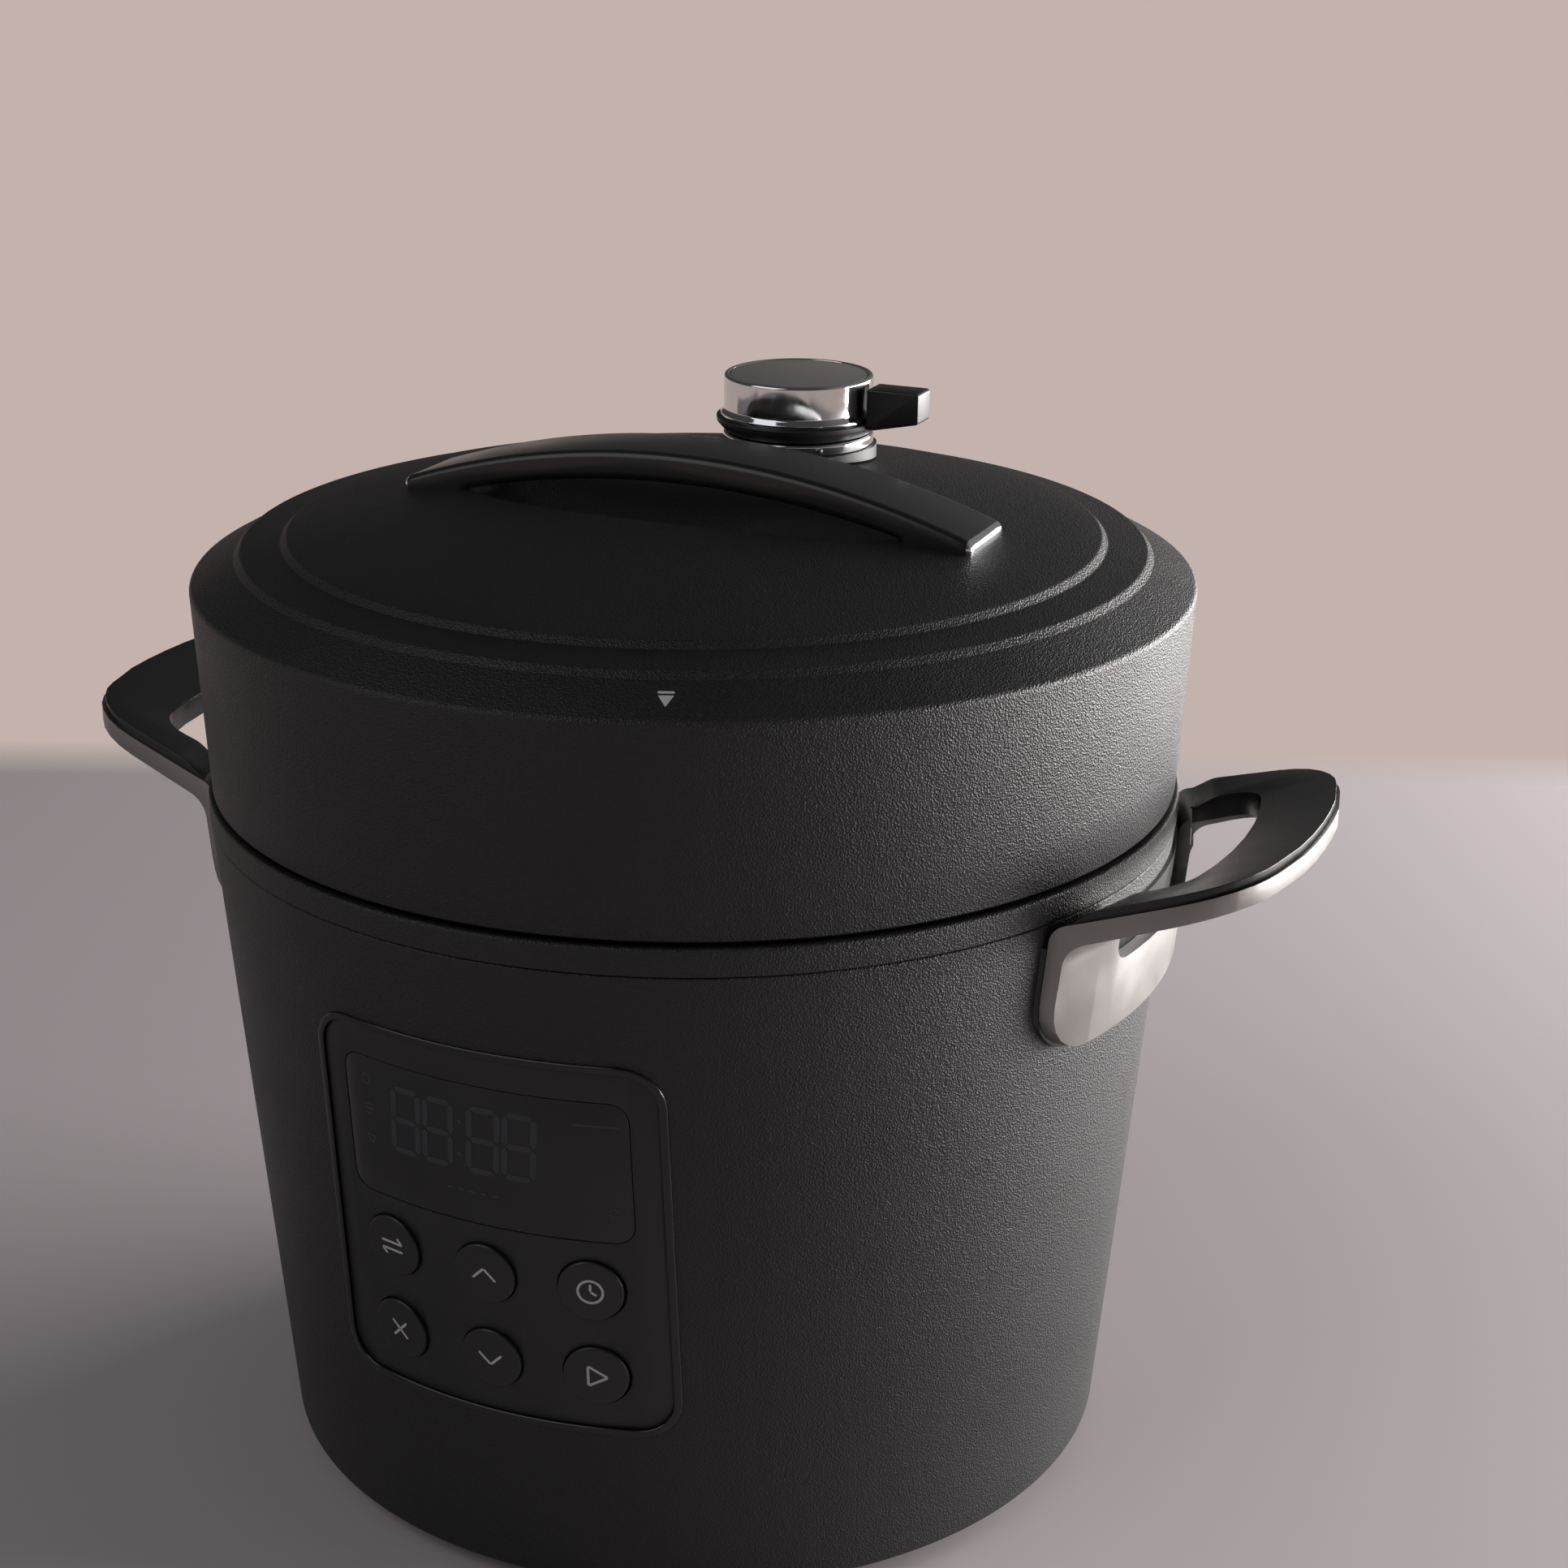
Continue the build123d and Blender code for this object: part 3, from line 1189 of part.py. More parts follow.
# float valve: rises through the lid when the pot is under pressure
float_top = dome_z(sqrt(FLOAT_X ** 2 + FLOAT_Y ** 2)) + 0.8
float_pin = turned([
    (0, LID_PLATE_Z - 4),
    (3.0, LID_PLATE_Z - 4),
    (3.0, LID_PLATE_Z - 2.8),
    (1.8, LID_PLATE_Z - 2.8),
    (1.8, LID_PLATE_Z + 8),
    (2.6, LID_PLATE_Z + 8),
    (2.6, float_top - 0.6),
    (2.0, float_top),
    (0, float_top),
], FLOAT_X, FLOAT_Y)
save(float_pin, "float_pin")

float_sleeve = turned([
    (1.8 + MOVE_GAP, LID_PLATE_Z),
    (3.5, LID_PLATE_Z),
    (3.5, LID_PLATE_Z + LID_PLATE_T),
    (5.0, LID_PLATE_Z + LID_PLATE_T),
    (5.0, LID_PLATE_Z + LID_PLATE_T + 2),
    (1.8 + MOVE_GAP, LID_PLATE_Z + LID_PLATE_T + 2),
], FLOAT_X, FLOAT_Y)
save(float_sleeve, "float_sleeve")
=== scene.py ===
import json
from math import atan, atan2, asin, cos, pi, radians, sin, sqrt, tan

import bpy
from mathutils import Matrix, Vector


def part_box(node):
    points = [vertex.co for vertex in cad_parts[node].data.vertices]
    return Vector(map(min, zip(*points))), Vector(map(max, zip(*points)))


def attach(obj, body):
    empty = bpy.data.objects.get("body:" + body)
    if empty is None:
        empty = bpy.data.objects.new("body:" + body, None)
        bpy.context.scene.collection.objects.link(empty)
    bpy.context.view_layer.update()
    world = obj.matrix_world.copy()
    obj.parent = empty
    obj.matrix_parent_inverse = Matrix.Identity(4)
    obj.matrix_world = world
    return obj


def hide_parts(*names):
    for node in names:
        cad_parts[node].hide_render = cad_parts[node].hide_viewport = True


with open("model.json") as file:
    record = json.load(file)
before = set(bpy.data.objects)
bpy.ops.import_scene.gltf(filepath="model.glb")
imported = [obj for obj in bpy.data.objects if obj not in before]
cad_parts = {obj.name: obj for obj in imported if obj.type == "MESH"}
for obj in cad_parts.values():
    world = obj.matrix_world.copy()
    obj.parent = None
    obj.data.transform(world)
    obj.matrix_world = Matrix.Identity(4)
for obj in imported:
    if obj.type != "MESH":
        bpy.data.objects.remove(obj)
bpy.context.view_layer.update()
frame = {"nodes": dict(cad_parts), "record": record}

MM = 0.001
ROUND_BIG = 192  # sides of a large turned shell
ROUND_SMALL = 72  # sides of a knob or button
RING_SIDES = 36  # sides of a printed ring
ARC_STEPS = 6  # points on a rounded corner of an outline


# ------------ sizes in millimetres
def span(node_name):
    """Lowest and highest corner of a CAD node in the frame."""
    return [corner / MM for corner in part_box(node_name)]


housing_low, housing_high = span("body_housing")
collar_high = span("upper_collar")[1]
lid_low, lid_high = span("lid_cover")
handle_low, handle_high = span("lid_handle")
trim_high = span("handle_end_trims")[1]
cap_low, cap_high = span("valve_cap")
ring_low, ring_high = span("valve_ring")
valve_collar_low, valve_collar_high = span("valve_collar")
bezel_low, bezel_high = span("panel_bezel")
window_low, window_high = span("display_window")
bracket_low, bracket_high = span("right_handle_bracket")
pot_low, pot_high = span("inner_pot")
seal_low, seal_high = span("seal_ring")

BODY_R = housing_high.x
BODY_TOP = housing_high.z
BODY_FOOT = housing_low.z
TAPER = 0.085  # radius lost per millimetre going down
WALL = 2.6  # of the housing
FOOT_EDGE = 1.6  # rounding of the housing's bottom edge
BAND_TOP = BODY_TOP + 6.1  # top of the band round the rim
COLLAR_TOP = collar_high.z
COLLAR_R = 101.0  # the collar stands inside the lid's skirt
COLLAR_IN = 94.0
INLET_CORNER = 3.0

SKIRT_Z = lid_low.z
SKIRT_R = BODY_R - 0.7
RIM_R = SKIRT_R + 2.4
DOME_TOP = lid_high.z
RIM_Z = DOME_TOP - 16.0  # where the skirt turns into the sloping rim
STEP_1 = (RIM_R - 10.5, RIM_Z + 6.8)  # radius and height of the outer raised ring
STEP_2 = (RIM_R - 20.5, RIM_Z + 9.6)  # and of the inner one
STEP_H = 1.5
LID_WALL = 2.5
SCOOP = (58.0, 24.0, 9.0)  # half lengths and depth of the finger recess
PIN_HOLE_R = 3.4
PIPE_HOLE_R = 7.0  # hole under the pressure valve

PANEL_Z = (bezel_low.z + bezel_high.z) / 2
PANEL_W = bezel_high.x - bezel_low.x
PANEL_H = bezel_high.z - bezel_low.z
PANEL_CORNER = 9.0
BEZEL_W = 1.7
PANEL_GAP = 0.2  # round the fascia and the window
BUTTON_GAP = 0.15
WINDOW_CORNER = 4.0
WINDOW_Z = (window_low.z + window_high.z) / 2


def wall_r(z):
    """Outer radius of the tapered housing at height z."""
    return BODY_R - TAPER * (BODY_TOP - z)


def dome_z(r):
    """Height of the lid's dome at radius r."""
    return DOME_TOP - (DOME_TOP - STEP_2[1]) * (r / STEP_2[0]) ** 2


# ------------ camera, light and floor
RIM_CENTRE = Vector((0, 0, RIM_Z)) * MM
CAMERA_TURN = radians(25.2)  # the view comes from the right of the panel
CAMERA_BACK = 0.60725  # metres from the middle of the lid's rim
CAMERA_UP = 0.16733
CAMERA_PITCH = radians(19.81)
CAMERA_YAW = radians(1.88)
CAMERA_ROLL = radians(0.51)
SENSOR_WIDTH = 36.0
LENS = 65.2
TABLE_BEHIND = 0.447  # metres behind the cooker at which the table ends
TABLE_FADE = 0.02
LIGHT_AIM = Vector((0, 0, 0.12))  # the middle of the body


def make_camera():
    """Camera placed and turned from the middle of the lid's rim."""
    pitch, yaw, roll = CAMERA_PITCH, CAMERA_YAW, CAMERA_ROLL
    ahead = Vector((sin(yaw) * cos(pitch), cos(yaw) * cos(pitch), -sin(pitch)))
    right = Vector((cos(yaw), -sin(yaw), 0))
    up = right.cross(ahead)
    across = right * cos(roll) + up * sin(roll)
    upward = up * cos(roll) - right * sin(roll)
    turn = Matrix.Rotation(CAMERA_TURN, 4, "Z")
    pose = Matrix((across, upward, -ahead)).transposed().to_4x4()
    pose.translation = (0, -CAMERA_BACK, CAMERA_UP)
    data = bpy.data.cameras.new("camera")
    data.sensor_width, data.lens = SENSOR_WIDTH, LENS
    camera = bpy.data.objects.new("camera", data)
    bpy.context.scene.collection.objects.link(camera)
    camera.matrix_world = Matrix.Translation(RIM_CENTRE) @ turn @ pose
    bpy.context.scene.camera = camera


def make_light(name, turn, reach, height, size, power, colour):
    """Soft box at an angle from the camera's side of the cooker, aimed at the middle of the body."""
    angle = CAMERA_TURN + radians(turn)
    place = Vector((sin(angle) * reach, -cos(angle) * reach, height))
    data = bpy.data.lights.new(name, "AREA")
    data.shape = "RECTANGLE"
    data.size, data.size_y = size
    data.energy, data.color = power, srgb(colour)[:3]
    light = bpy.data.objects.new(name, data)
    bpy.context.scene.collection.objects.link(light)
    light.location = place
    light.rotation_mode = "QUATERNION"
    light.rotation_quaternion = (place - LIGHT_AIM).to_track_quat("Z", "Y")


def make_room():
    """Dim room: pale wall at and below the table's level, brighter to the right, dark higher up."""
    world = bpy.data.worlds.new("room")
    bpy.context.scene.world = world
    world.use_nodes = True
    tree = world.node_tree
    bright = Matrix.Rotation(CAMERA_TURN, 3, "Z") @ Vector((0.95, 0.3, 0))
    looking = node(tree, "TexCoord").outputs["Generated"]
    height = node(tree, "SeparateXYZ", links={0: looking})
    below = node(tree, "MapRange", {"interpolation_type": "SMOOTHSTEP", "From Min": 0.1, "From Max": -0.04},
                 {"Value": height.outputs["Z"]})
    facing = node(tree, "VectorMath", {"operation": "DOT_PRODUCT", 1: bright}, {0: looking})
    side = node(tree, "MapRange", {"interpolation_type": "SMOOTHSTEP", "From Min": 0.1, "From Max": 0.95},
                {"Value": facing.outputs["Value"]})
    upper = node(tree, "Mix", {"data_type": "RGBA", 6: srgb("#464647"), 7: srgb("#8d8b8a")},
                 {0: side.outputs["Result"]})
    wall = node(tree, "Mix", {"data_type": "RGBA", 7: srgb("#c3b3ac")},
                {0: below.outputs["Result"], 6: upper.outputs[2]})
    tree.links.new(wall.outputs[2], tree.nodes["Background"].inputs["Color"])


def make_floor():
    """Pale table that fades out behind the cooker."""
    behind = Matrix.Rotation(CAMERA_TURN - CAMERA_YAW, 3, "Z") @ Vector((0, 1, 0))
    deselect()
    bpy.ops.mesh.primitive_plane_add(size=3.0, location=(0, 0, 0))
    floor = bpy.context.object
    floor.name = "floor"
    made, tree, shader, place = blank("matt_laminate_table", "#cdc4c6", 0.6)
    far = node(tree, "VectorMath", {"operation": "DOT_PRODUCT", 1: behind}, {0: place})
    edge = {"From Min": TABLE_BEHIND - TABLE_FADE, "From Max": TABLE_BEHIND + TABLE_FADE,
            "To Min": 1.0, "To Max": 0.0}
    fade = node(tree, "MapRange", edge, {"Value": far.outputs["Value"]})
    tree.links.new(fade.outputs["Result"], shader.inputs["Alpha"])
    floor.data.materials.append(made)


# ------------ materials
def srgb(code):
    """Linear colour from an sRGB hex code."""
    parts = [int(code[i:i + 2], 16) / 255 for i in (1, 3, 5)]
    return [p / 12.92 if p <= 0.04045 else ((p + 0.055) / 1.055) ** 2.4 for p in parts] + [1.0]


def node(tree, kind, values=None, links=None):
    """Adds a shader node with its settings, by property or socket, and its incoming links."""
    made = tree.nodes.new("ShaderNode" + kind)
    for key, value in (values or {}).items():
        if isinstance(key, str) and hasattr(made, key):
            setattr(made, key, value)
        else:
            made.inputs[key].default_value = value
    for key, source in (links or {}).items():
        tree.links.new(source, made.inputs[key])
    return made


def blank(name, colour, roughness, metallic=0.0, **sockets):
    """New material: itself, its node tree, its shader and the piece's own coordinates."""
    made = bpy.data.materials.new(name)
    made.use_nodes = True
    tree = made.node_tree
    shader = tree.nodes["Principled BSDF"]
    shader.inputs["Base Color"].default_value = srgb(colour)
    shader.inputs["Roughness"].default_value = roughness
    shader.inputs["Metallic"].default_value = metallic
    for key, value in sockets.items():
        shader.inputs[key.replace("_", " ")].default_value = value
    return made, tree, shader, node(tree, "TexCoord").outputs["Object"]


def relief(tree, shader, height, depth):
    """Bump of a given depth in millimetres from a height between 0 and 1."""
    bump = node(tree, "Bump", {"Distance": depth * MM}, {"Height": height})
    tree.links.new(bump.outputs["Normal"], shader.inputs["Normal"])


def uneven_gloss(tree, shader, pattern, low, high):
    """Roughness that follows a pattern between two values."""
    spread = node(tree, "MapRange", {"From Min": 0.3, "From Max": 0.7, "To Min": low, "To Max": high},
                  {"Value": pattern.outputs["Fac"]})
    tree.links.new(spread.outputs["Result"], shader.inputs["Roughness"])


def blended(tree, shader, share, first, second):
    """Colours the surface between two tones by a share from 0 to 1."""
    mixed = node(tree, "Mix", {"data_type": "RGBA", 6: srgb(first), 7: srgb(second)}, {0: share})
    tree.links.new(mixed.outputs[2], shader.inputs["Base Color"])


def two_tone(tree, shader, pattern, first, second):
    """Colours the surface between two tones by a pattern."""
    share = node(tree, "MapRange", {"From Min": 0.35, "From Max": 0.65}, {"Value": pattern.outputs["Fac"]})
    blended(tree, shader, share.outputs["Result"], first, second)


def leather_grained_abs():
    # Black ABS moulded in an etched leather-grain tool: dull, with pebbles about 0.4 mm wide that
    # catch a low light, and slightly uneven gloss.
    made, tree, shader, place = blank("leather_grained_abs", "#121213", 0.5, IOR=1.53)
    wander = node(tree, "TexNoise", {"Scale": 1 / (2.5 * MM), "Detail": 1.0}, {"Vector": place})
    shifted = node(tree, "VectorMath", {"operation": "MULTIPLY_ADD", 1: (0.4 * MM,) * 3},
                   {0: wander.outputs["Color"], 2: place})
    pebbles = node(tree, "TexVoronoi", {"feature": "SMOOTH_F1", "Scale": 1 / (0.42 * MM), "Smoothness": 0.3},
                   {"Vector": shifted.outputs["Vector"]})
    fine = node(tree, "TexNoise", {"Scale": 1 / (0.3 * MM), "Detail": 2.0}, {"Vector": place})
    height = node(tree, "Math", {"operation": "MULTIPLY_ADD", 1: 0.35},
                  {0: fine.outputs["Fac"], 2: pebbles.outputs["Distance"]})
    relief(tree, shader, height.outputs["Value"], 0.16)
    clouds = node(tree, "TexNoise", {"Scale": 1 / (30 * MM), "Detail": 3.0}, {"Vector": place})
    uneven_gloss(tree, shader, clouds, 0.46, 0.54)
    two_tone(tree, shader, clouds, "#101011", "#141415")
    return made


def spark_eroded_abs(name, colour, gloss, grit=0.35, depth=0.025):
    # Black ABS from a spark-eroded tool: an even fine matt, its grit drawn coarse enough to show.
    made, tree, shader, place = blank(name, colour, gloss, IOR=1.53)
    grain = node(tree, "TexNoise", {"Scale": 1 / (grit * MM), "Detail": 2.0}, {"Vector": place})
    relief(tree, shader, grain.outputs["Fac"], depth)
    clouds = node(tree, "TexNoise", {"Scale": 1 / (14 * MM), "Detail": 3.0}, {"Vector": place})
    uneven_gloss(tree, shader, clouds, gloss - 0.03, gloss + 0.04)
    return made


def polished_abs(name, colour, gloss):
    # ABS from a polished tool: glossy, with the slight ripple that thick mouldings have.
    made, tree, shader, place = blank(name, colour, gloss, IOR=1.53)
    ripple = node(tree, "TexNoise", {"Scale": 1 / (6 * MM), "Detail": 1.0}, {"Vector": place})
    relief(tree, shader, ripple.outputs["Fac"], 0.008)
    uneven_gloss(tree, shader, ripple, gloss - 0.02, gloss + 0.03)
    return made


def smoked_acrylic():
    # Smoked acrylic over the display: nearly black, smooth, with a faint haze of its coating.
    made, tree, shader, place = blank("smoked_acrylic", "#1a1b1d", 0.2, IOR=1.49)
    haze = node(tree, "TexNoise", {"Scale": 1 / (9 * MM), "Detail": 2.0}, {"Vector": place})
    uneven_gloss(tree, shader, haze, 0.18, 0.25)
    two_tone(tree, shader, haze, "#191a1c", "#1d1e20")
    return made


def screen_ink(name, colour):
    # Screen-printed ink: flat, a little uneven where the mesh laid it down.
    made, tree, shader, place = blank(name, colour, 0.55)
    mesh = node(tree, "TexNoise", {"Scale": 1 / (0.2 * MM), "Detail": 1.0}, {"Vector": place})
    uneven_gloss(tree, shader, mesh, 0.5, 0.62)
    return made


def satin_stainless():
    # Stainless casting, glass-bead blasted: soft wide highlights and a faint cloudiness, with grit drawn
    # coarse enough to show.
    made, tree, shader, place = blank("satin_stainless", "#989693", 0.42, metallic=1.0)
    beads = node(tree, "TexNoise", {"Scale": 1 / (0.3 * MM), "Detail": 2.0}, {"Vector": place})
    relief(tree, shader, beads.outputs["Fac"], 0.012)
    clouds = node(tree, "TexNoise", {"Scale": 1 / (11 * MM), "Detail": 4.0}, {"Vector": place})
    uneven_gloss(tree, shader, clouds, 0.38, 0.46)
    two_tone(tree, shader, clouds, "#94928f", "#9d9b98")
    return made


def bright_chrome_plate():
    # Bright chrome on polished brass: mirror-like, with the faintest waviness and a few dull patches.
    made, tree, shader, place = blank("bright_chrome_plate", "#cfd0d2", 0.07, metallic=1.0)
    wave = node(tree, "TexNoise", {"Scale": 1 / (4 * MM), "Detail": 2.0}, {"Vector": place})
    relief(tree, shader, wave.outputs["Fac"], 0.006)
    uneven_gloss(tree, shader, wave, 0.05, 0.11)
    return made


def lathe_turned_steel(centre):
    # Stainless disc faced on a lathe: pale satin, with fine rings about its own centre.
    made, tree, shader, place = blank("lathe_turned_steel", "#dcd8d4", 0.42, metallic=1.0)
    middle = node(tree, "Mapping", {"Location": [-c * MM for c in centre]}, {"Vector": place})
    rings = node(tree, "TexWave", {"wave_type": "RINGS", "rings_direction": "Z", "Scale": 1 / (1.2 * MM),
                                   "Distortion": 1.5, "Detail": 2.0}, {"Vector": middle.outputs["Vector"]})
    relief(tree, shader, rings.outputs["Fac"], 0.006)
    uneven_gloss(tree, shader, rings, 0.37, 0.47)
    return made


def drawn_stainless():
    # Deep-drawn stainless sheet: bright satin, with long upright draw lines.
    made, tree, shader, place = blank("drawn_stainless", "#b5b3b1", 0.27, metallic=1.0)
    stretched = node(tree, "Mapping", {"Scale": (1, 1, 0.04)}, {"Vector": place})
    lines = node(tree, "TexNoise", {"Scale": 1 / (0.6 * MM), "Detail": 3.0},
                 {"Vector": stretched.outputs["Vector"]})
    relief(tree, shader, lines.outputs["Fac"], 0.01)
    uneven_gloss(tree, shader, lines, 0.22, 0.34)
    return made


def zinc_plated_steel():
    # Zinc-plated fasteners: grey, slightly blotchy passivation.
    made, tree, shader, place = blank("zinc_plated_steel", "#a6a7a8", 0.36, metallic=1.0)
    blotches = node(tree, "TexNoise", {"Scale": 1 / (1.5 * MM), "Detail": 4.0}, {"Vector": place})
    uneven_gloss(tree, shader, blotches, 0.3, 0.46)
    two_tone(tree, shader, blotches, "#9b9c9d", "#b1b2b3")
    return made


def speckled_nonstick():
    # Sprayed non-stick coating: charcoal with scattered pale flecks under a soft sheen.
    made, tree, shader, place = blank("speckled_nonstick", "#2a2a2b", 0.36)
    flecks = node(tree, "TexVoronoi", {"Scale": 1 / (2.2 * MM), "Randomness": 1.0}, {"Vector": place})
    near = node(tree, "MapRange", {"From Min": 0.1, "From Max": 0.17, "To Min": 1.0, "To Max": 0.0},
                {"Value": flecks.outputs["Distance"]})
    blended(tree, shader, near.outputs["Result"], "#29292a", "#6d6d6e")
    spray = node(tree, "TexNoise", {"Scale": 1 / (0.5 * MM), "Detail": 2.0}, {"Vector": place})
    relief(tree, shader, spray.outputs["Fac"], 0.015)
    return made


def cast_aluminium():
    # Pressure-cast aluminium: pale, slightly pitted, with a dull face.
    made, tree, shader, place = blank("cast_aluminium", "#b9bbbd", 0.42, metallic=1.0)
    pits = node(tree, "TexNoise", {"Scale": 1 / (0.8 * MM), "Detail": 5.0}, {"Vector": place})
    relief(tree, shader, pits.outputs["Fac"], 0.04)
    uneven_gloss(tree, shader, pits, 0.36, 0.52)
    return made


def moulded_rubber():
    # Black rubber from a mould: dead matt with a dusting of release powder.
    made, tree, shader, place = blank("moulded_rubber", "#222223", 0.85)
    dust = node(tree, "TexNoise", {"Scale": 1 / (1.2 * MM), "Detail": 4.0}, {"Vector": place})
    two_tone(tree, shader, dust, "#1f1f20", "#2a2a2a")
    relief(tree, shader, dust.outputs["Fac"], 0.03)
    return made


def translucent_silicone():
    # Food-grade silicone: milky, soft, lit a little from within.
    made, tree, shader, place = blank("translucent_silicone", "#d9d6cc", 0.42, Subsurface_Weight=0.25,
                                      Subsurface_Scale=0.004)
    bloom = node(tree, "TexNoise", {"Scale": 1 / (5 * MM), "Detail": 3.0}, {"Vector": place})
    uneven_gloss(tree, shader, bloom, 0.38, 0.5)
    return made


def solder_masked_board():
    # Glass-epoxy board under green solder mask: tracks show as slightly raised paler lines.
    made, tree, shader, place = blank("solder_masked_board", "#1d4a2c", 0.35)
    tracks = node(tree, "TexBrick", {"Scale": 1 / (9 * MM), "Color1": (0, 0, 0, 1), "Color2": (0, 0, 0, 1),
                                     "Mortar": (1, 1, 1, 1), "Mortar Size": 0.05}, {"Vector": place})
    blended(tree, shader, tracks.outputs["Color"], "#1b4529", "#2c6a3f")
    relief(tree, shader, tracks.outputs["Fac"], 0.02)
    return made


def flame_retardant_nylon():
    # Moulded nylon of relays and terminals: dark grey, slightly mottled by its glass fibre.
    made, tree, shader, place = blank("flame_retardant_nylon", "#3a3b3f", 0.5)
    fibre = node(tree, "TexNoise", {"Scale": 1 / (0.7 * MM), "Detail": 4.0}, {"Vector": place})
    two_tone(tree, shader, fibre, "#36373b", "#424347")
    return made


# ------------ modelling
# The two axes that an outline is drawn on.
FRONT = (Vector((1, 0, 0)), Vector((0, 0, 1)))  # seen from the panel's side
PLAN = (Vector((1, 0, 0)), Vector((0, 1, 0)))  # seen from above
SIDE = (Vector((0, 1, 0)), Vector((0, 0, 1)))  # seen from a side handle
WELD = 0.001 * MM  # points nearer than this are merged


def deselect():
    bpy.ops.object.select_all(action="DESELECT")


def pick(piece):
    """Selects one piece alone and makes it the active one."""
    deselect()
    piece.select_set(True)
    bpy.context.view_layer.objects.active = piece


def settle(piece, name):
    """Names a piece and puts its place, turn and scale into its mesh."""
    piece.name = piece.data.name = name
    pick(piece)
    bpy.ops.object.transform_apply(location=True, rotation=True, scale=True)
    return piece


def applied(piece, kind, **settings):
    """Adds a modifier with its settings and applies it."""
    pick(piece)
    made = piece.modifiers.new(kind.lower(), kind)
    for key, value in settings.items():
        setattr(made, key, value)
    bpy.ops.object.modifier_apply(modifier=made.name)
    return piece


def cut(piece, tool, how="DIFFERENCE"):
    """Cuts, intersects or joins a piece with another, which is used up."""
    applied(piece, "BOOLEAN", operation=how, object=tool, solver="EXACT")
    bpy.data.objects.remove(tool)
    return piece


def soften(piece, width, segments=3, angle=40):
    """Rounds every edge sharper than an angle."""
    return applied(piece, "BEVEL", width=width * MM, segments=segments, limit_method="ANGLE",
                   angle_limit=radians(angle))


def smooth(piece, angle=32):
    """Shades a piece smooth across edges blunter than an angle."""
    pick(piece)
    bpy.ops.object.shade_smooth_by_angle(angle=radians(angle))
    return piece


def copied(piece, name):
    """Copy with its own mesh."""
    twin = piece.copy()
    twin.data = piece.data.copy()
    bpy.context.scene.collection.objects.link(twin)
    twin.name = twin.data.name = name
    return twin


def mirrored(piece, name):
    """Copy on the other side of the cooker, its faces turned back outwards."""
    twin = copied(piece, name)
    twin.scale.x = -1
    settle(twin, name)
    bpy.ops.object.mode_set(mode="EDIT")
    bpy.ops.mesh.select_all(action="SELECT")
    bpy.ops.mesh.normals_make_consistent(inside=False)
    bpy.ops.object.mode_set(mode="OBJECT")
    return twin


def joined(pieces, name):
    """Several pieces made one."""
    pick(pieces[0])
    for piece in pieces:
        piece.select_set(True)
    bpy.ops.object.join()
    return settle(bpy.context.object, name)


def fit(piece, finish, body, slot, *stands_for):
    """Gives a finished piece its material and body, and hides the CAD nodes it stands for; the slot is not
    used.
    """
    piece.data.materials.clear()
    piece.data.materials.append(finish)
    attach(piece, body)
    if stands_for:
        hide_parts(*stands_for)
    return piece


def rounded(outline):
    """Points of an outline whose corners are (across, up), or (across, up, radius) to be rounded."""
    points = []
    for i, corner in enumerate(outline):
        here = Vector(corner[:2])
        if len(corner) == 2 or not corner[2]:
            points.append(here)
            continue
        back = (Vector(outline[i - 1][:2]) - here).normalized()
        ahead = (Vector(outline[(i + 1) % len(outline)][:2]) - here).normalized()
        half = back.angle(ahead) / 2
        centre = here + (back + ahead).normalized() * corner[2] / sin(half)
        first = here + back * corner[2] / tan(half) - centre
        last = here + ahead * corner[2] / tan(half) - centre
        start = atan2(first.y, first.x)
        turn = (atan2(last.y, last.x) - start + pi) % (2 * pi) - pi
        for k in range(ARC_STEPS + 1):
            angle = start + turn * k / ARC_STEPS
            points.append(centre + Vector((cos(angle), sin(angle))) * corner[2])
    return points


def bowed(start, end, rise, count):
    """Points between two ends of a shallow arc that rises from its chord to its left."""
    start, end = Vector(start), Vector(end)
    chord = end - start
    left = Vector((-chord.y, chord.x)).normalized()
    return [tuple(start + chord * t + left * 4 * rise * t * (1 - t))
            for t in ((k + 1) / (count + 1) for k in range(count))]


def rectangle(width, height, corner=0.0, centre=(0.0, 0.0)):
    """Outline with its corners rounded."""
    x, y, w, h = *centre, width / 2, height / 2
    return [(x - w, y - h, corner), (x + w, y - h, corner), (x + w, y + h, corner), (x - w, y + h, corner)]


def draw(points, axes, start=0.0):
    """Wire through the points, grown from one vertex; left in edit mode with all of it selected."""
    across, up = axes
    places = [(across * p[0] + up * p[1] + across.cross(up) * start) * MM for p in points]
    deselect()
    bpy.ops.mesh.primitive_plane_add(size=MM, location=(0, 0, 0))
    bpy.ops.object.mode_set(mode="EDIT")
    bpy.ops.mesh.select_all(action="SELECT")
    bpy.ops.mesh.merge(type="CENTER")
    here = Vector((0, 0, 0))
    for i, place in enumerate(places):
        if i == 0:
            bpy.ops.transform.translate(value=place - here)
        else:
            bpy.ops.mesh.extrude_vertices_move(TRANSFORM_OT_translate={"value": place - here})
        here = place
    bpy.ops.mesh.select_all(action="SELECT")
    return bpy.context.object


